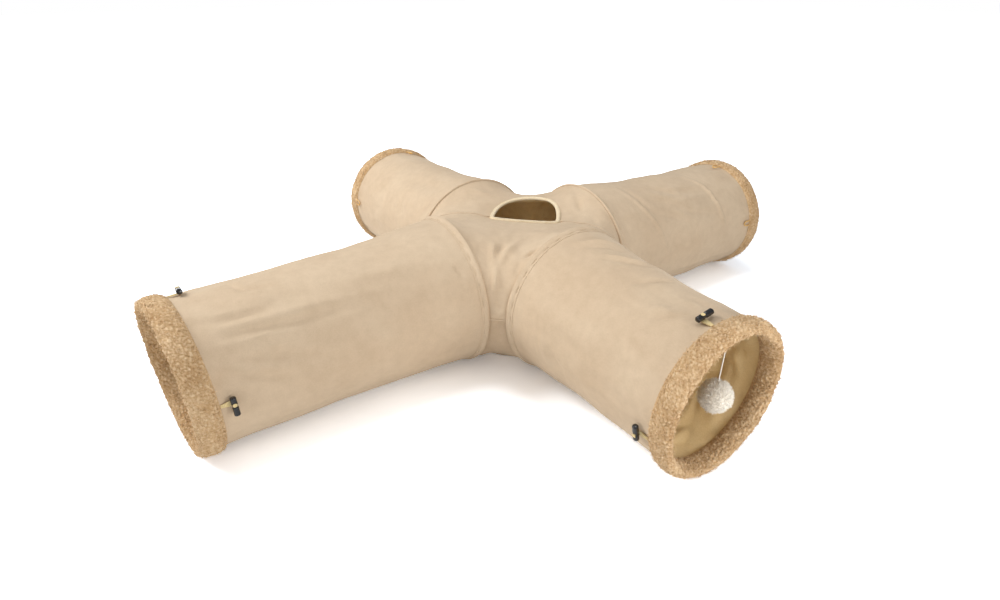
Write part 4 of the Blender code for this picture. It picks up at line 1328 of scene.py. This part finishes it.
def loop(leg, side):
    """Round braided elastic that comes out of the seam, turns back and goes in again."""
    place = stitch_frame(leg, joint_named(f"{leg.name}_{side}_loop_flap"))
    bend = LOOP_LENGTH - LOOP_HALF_WIDTH
    angles = np.linspace(-math.pi / 2, math.pi / 2, 22)
    out = [(x, -LOOP_HALF_WIDTH) for x in np.linspace(0, bend, 14)[:-1]]
    turn = [(bend + LOOP_HALF_WIDTH * math.cos(a), LOOP_HALF_WIDTH * math.sin(a)) for a in angles]
    path = np.array(out + turn + [(x, -y) for x, y in out[::-1]])
    lift = LOOP_LIFT * np.sin(np.pi * np.clip(path[:, 0] / LOOP_LENGTH, 0, 1))
    centres = resampled(np.column_stack((path, lift - LOOP_CORD_RADIUS)), LOOP_RINGS)
    grid, faces = round_bar(centres, UP, LOOP_CORD_RADIUS, LOOP_SIDES)
    ring, spoke = np.meshgrid(np.arange(LOOP_RINGS), circle(LOOP_SIDES), indexing="ij")
    weave = 0.93 + 0.07 * (np.cos(2 * spoke + 1.1 * ring) * np.cos(2 * spoke - 1.1 * ring))
    points = placed(braided(centres, grid, weave), place)
    name = f"{leg.name}_{side}_loop"
    piece(f"{name}_elastic", points, faces, GOLD_ELASTIC, name, [name], slot="elastic")


# Toy


def pompom_cord(anchor):
    """A twisted cord that hangs from the anchor, and the line through its middle."""
    drops = POMPOM_CORD_LENGTH * np.arange(CORD_STEPS + 1) / CORD_STEPS
    centres = resampled(anchor - drops[:, None] * UP, CORD_RINGS)
    grid, faces = round_bar(centres, np.array((1.0, 0, 0)), POMPOM_CORD_DIAMETER / 2, CORD_SIDES)
    drop = np.linalg.norm(centres - anchor, axis=1)[:, None]
    twist = np.abs(np.cos(1.5 * (circle(CORD_SIDES)[None] + math.tau * drop / CORD_TWIST)))
    points = braided(centres, grid, 0.84 + 0.2 * twist)
    cord = piece("pompom_string", points, faces, CORD, "pompom_cord", ["pompom_cord"])
    shade_by(cord, np.repeat(0.8, len(cord.data.vertices)))
    return cord, centres


def pompom_ball(middle, size):
    """The tufted core that shows between the strands of yarn."""
    rows, columns = 48, 96
    tilt = math.pi * (np.arange(rows) + 0.5) / rows
    ball = [np.outer(np.sin(tilt), f(circle(columns))).ravel() for f in (np.cos, np.sin)]
    ball = np.stack((*ball, np.repeat(np.cos(tilt), columns)), -1)
    clump = tufts(ball * size, CORE_TUFT, 901)
    points = middle + ball * (size * POMPOM_CORE_SHARE + CORE_TUFT_HEIGHT * clump)[:, None]
    caps = [list(range(columns)), list(range((rows - 1) * columns, rows * columns))[::-1]]
    faces = grid_faces(rows, columns, wrap=True).tolist() + caps
    made = piece("pompom_ball", points, faces, YARN, "pompom", ["pompom"], smooth=180)
    # Painted shade: darker in the clefts between the core's tufts.
    shade_by(made, np.clip(0.45 + 0.4 * clump, 0, 1))
    return made


def pompom_yarn(middle, size):
    """Cut strands all round the ball, longer in some clumps than in others."""
    rng = np.random.default_rng(900)
    index = np.arange(POMPOM_YARNS)
    height = 1 - 2 * (index + 0.5) / POMPOM_YARNS
    ring = np.sqrt(1 - height**2)
    ways = np.stack((ring * np.cos(GOLDEN_ANGLE * index), ring * np.sin(GOLDEN_ANGLE * index), height), -1)
    leaning = unit(ways + YARN_SPREAD * rng.normal(size=ways.shape))
    seats = middle + ways * size * (POMPOM_CORE_SHARE - YARN_ROOT)
    length = YARN_LENGTH + YARN_FLUFF * tufts(ways * size, 0.010, 902)
    points, faces, shade = strands(seats, leaning, length, YARN_RADIUS, YARN_CURL, rng)
    made = piece("pompom_yarn", points, faces, YARN, "pompom", smooth=180)
    # Painted shade: darker at the roots of the yarn.
    shade_by(made, 0.60 + 0.40 * shade)
    return made


def pompom():
    """A ball of cut yarn on a twisted cord."""
    anchor = np.array(joint_named("pompom_swing")["pos_m"])
    cord, centres = pompom_cord(anchor)
    low, high = (np.array(corner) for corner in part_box("pompom"))
    middle, size = (low + high) / 2, (high - low).max() / 2
    pompom_ball(middle, size)
    pompom_yarn(middle, size)


# Studio


def floor():
    """White floor that shows the camera a white ground and keeps the tunnel's shadow."""
    corners = [(x * FLOOR_SIZE, y * FLOOR_SIZE, 0) for x, y in ((-1, -1), (1, -1), (1, 1), (-1, 1))]
    mesh = bpy.data.meshes.new("floor")
    mesh.from_pydata(corners, [], [(0, 1, 2, 3)])
    made = link(bpy.data.objects.new("floor", mesh))
    paint = bpy.data.materials.new("floor")
    paint.use_nodes = True
    tree = paint.node_tree
    tree.nodes.remove(tree.nodes["Principled BSDF"])
    rays = add_node(tree, "LightPath").outputs
    tones = {0: rays["Is Camera Ray"], 6: FLOOR_WHITE, 7: FLOOR_EXPOSED}
    white = add_node(tree, "Mix", {"data_type": "RGBA"}, tones).outputs[2]
    cloth = add_node(tree, "BsdfDiffuse", (), {"Color": white}).outputs[0]
    place = add_node(tree, "TexCoord").outputs["Object"]
    away = add_node(tree, "VectorMath", {"operation": "LENGTH"}, {0: place}).outputs["Value"]
    rise = {"Value": away, "From Min": GLOW_START, "From Max": GLOW_END}
    far = add_node(tree, "MapRange", (), rise).outputs["Result"]
    seen = maths(tree, "MAXIMUM", rays["Is Camera Ray"], rays["Is Glossy Ray"])
    glow = add_node(tree, "Emission", (), {"Strength": maths(tree, "MULTIPLY", seen, far)}).outputs[0]
    both = add_node(tree, "AddShader", (), {0: cloth, 1: glow}).outputs[0]
    tree.links.new(both, tree.nodes["Material Output"].inputs["Surface"])
    mesh.materials.append(paint)


def sky():
    """Even white light from all round, and a white ground for the camera and for reflections."""
    world = bpy.data.worlds.new("studio")
    bpy.context.scene.world = world
    world.use_nodes = True
    tree = world.node_tree
    ground = tree.nodes["Background"].inputs
    ground["Color"].default_value = (1, 1, 1, 1)
    rays = add_node(tree, "LightPath").outputs
    seen = maths(tree, "MAXIMUM", rays["Is Camera Ray"], rays["Is Transmission Ray"])
    level = add_node(tree, "MapRange", (), {"Value": seen, "To Min": SKY_STRENGTH}).outputs["Result"]
    tree.links.new(level, ground["Strength"])


def lamp(name, place, target, size, power):
    data = bpy.data.lights.new(name, "AREA")
    data.shape = "DISK"
    data.size = size
    data.energy = power
    made = link(bpy.data.objects.new(name, data))
    made.location = place
    made.rotation_mode = "QUATERNION"
    made.rotation_quaternion = Vector(np.subtract(target, place)).to_track_quat("-Z", "Y")


def camera():
    data = bpy.data.cameras.new("camera")
    data.sensor_width = 36
    data.lens = FOCAL_PIXELS / PHOTO_WIDTH * data.sensor_width
    made = link(bpy.data.objects.new("camera", data))
    made.location = CAMERA_PLACE
    made.rotation_euler = (math.radians(90 - CAMERA_DROP), 0, math.radians(CAMERA_HEADING - 90))
    bpy.context.scene.camera = made


camera()
SUEDE = suede_paint("suede", (221, 199, 171), (213, 189, 160))
# Darker suede for the hub's base: partly its nap runs the other way, partly painted shade for its
# downward-facing side.
SUEDE_NAP_AND_PAINTED_SHADE = suede_paint("suede_against_nap", (212, 188, 159), (202, 177, 148))
PLUSH = plush_paint()
PILE = pile_paint()
LINING = lining_paint()
BINDING = tape_paint("binding", (252, 236, 206), (243, 222, 186), 0.0010)
ELASTIC = tape_paint("elastic", (248, 230, 180), (236, 211, 152), 0.0008)
GOLD_ELASTIC = tape_paint("golden_elastic", (240, 198, 128), (222, 174, 100), 0.0008)
THREAD = tape_paint("thread", (232, 211, 182), (218, 195, 164), 0.0006)
PLASTIC = plastic_paint()
STEEL = steel_paint()
CORD = yarn_paint("cord", (250, 247, 241), (222, 216, 204))
YARN = yarn_paint("pompom", (255, 249, 238), (232, 219, 196))

LEGS = {name: Leg(name) for name in LEG_QUARTERS}
for made_leg in LEGS.values():
    coil(made_leg)
    sleeve(made_leg)
    lining(made_leg)
    junction_band(made_leg)
    roll(made_leg)
    for kind in ("hub_hoop", "rim_hoop"):
        hoop = frame["nodes"][f"{made_leg.name}_{kind}"]
        hoop.data.materials.clear()
        hoop.data.materials.append(STEEL)
hub()
entry_binding()
for leg_name, closure in itertools.product(TOGGLE_LEGS, SIDES):
    tab(LEGS[leg_name], closure)
    toggle(LEGS[leg_name], closure)
for leg_name, closure in itertools.product(LOOP_LEGS, SIDES):
    loop(LEGS[leg_name], closure)
pompom()

floor()
sky()
lamp("key", (-1.6, 1.1, 1.8), (-0.1, 0, 0.1), 1.1, 40)
lamp("overhead", (0, 0, 2.4), (0, 0, 0.1), 0.8, 11)
lamp("side", (-2.4, -0.5, 0.45), (-0.1, -0.1, 0.1), 1.0, 7)
lamp("fill", (-0.4, -2.5, 0.5), (-0.1, -0.3, 0.1), 1.2, 10)
lamp("mouth", (0.10, -1.25, 0.34), (0, -0.5, 0.14), 0.3, 3.8)
bpy.context.scene.view_settings.view_transform = "Standard"
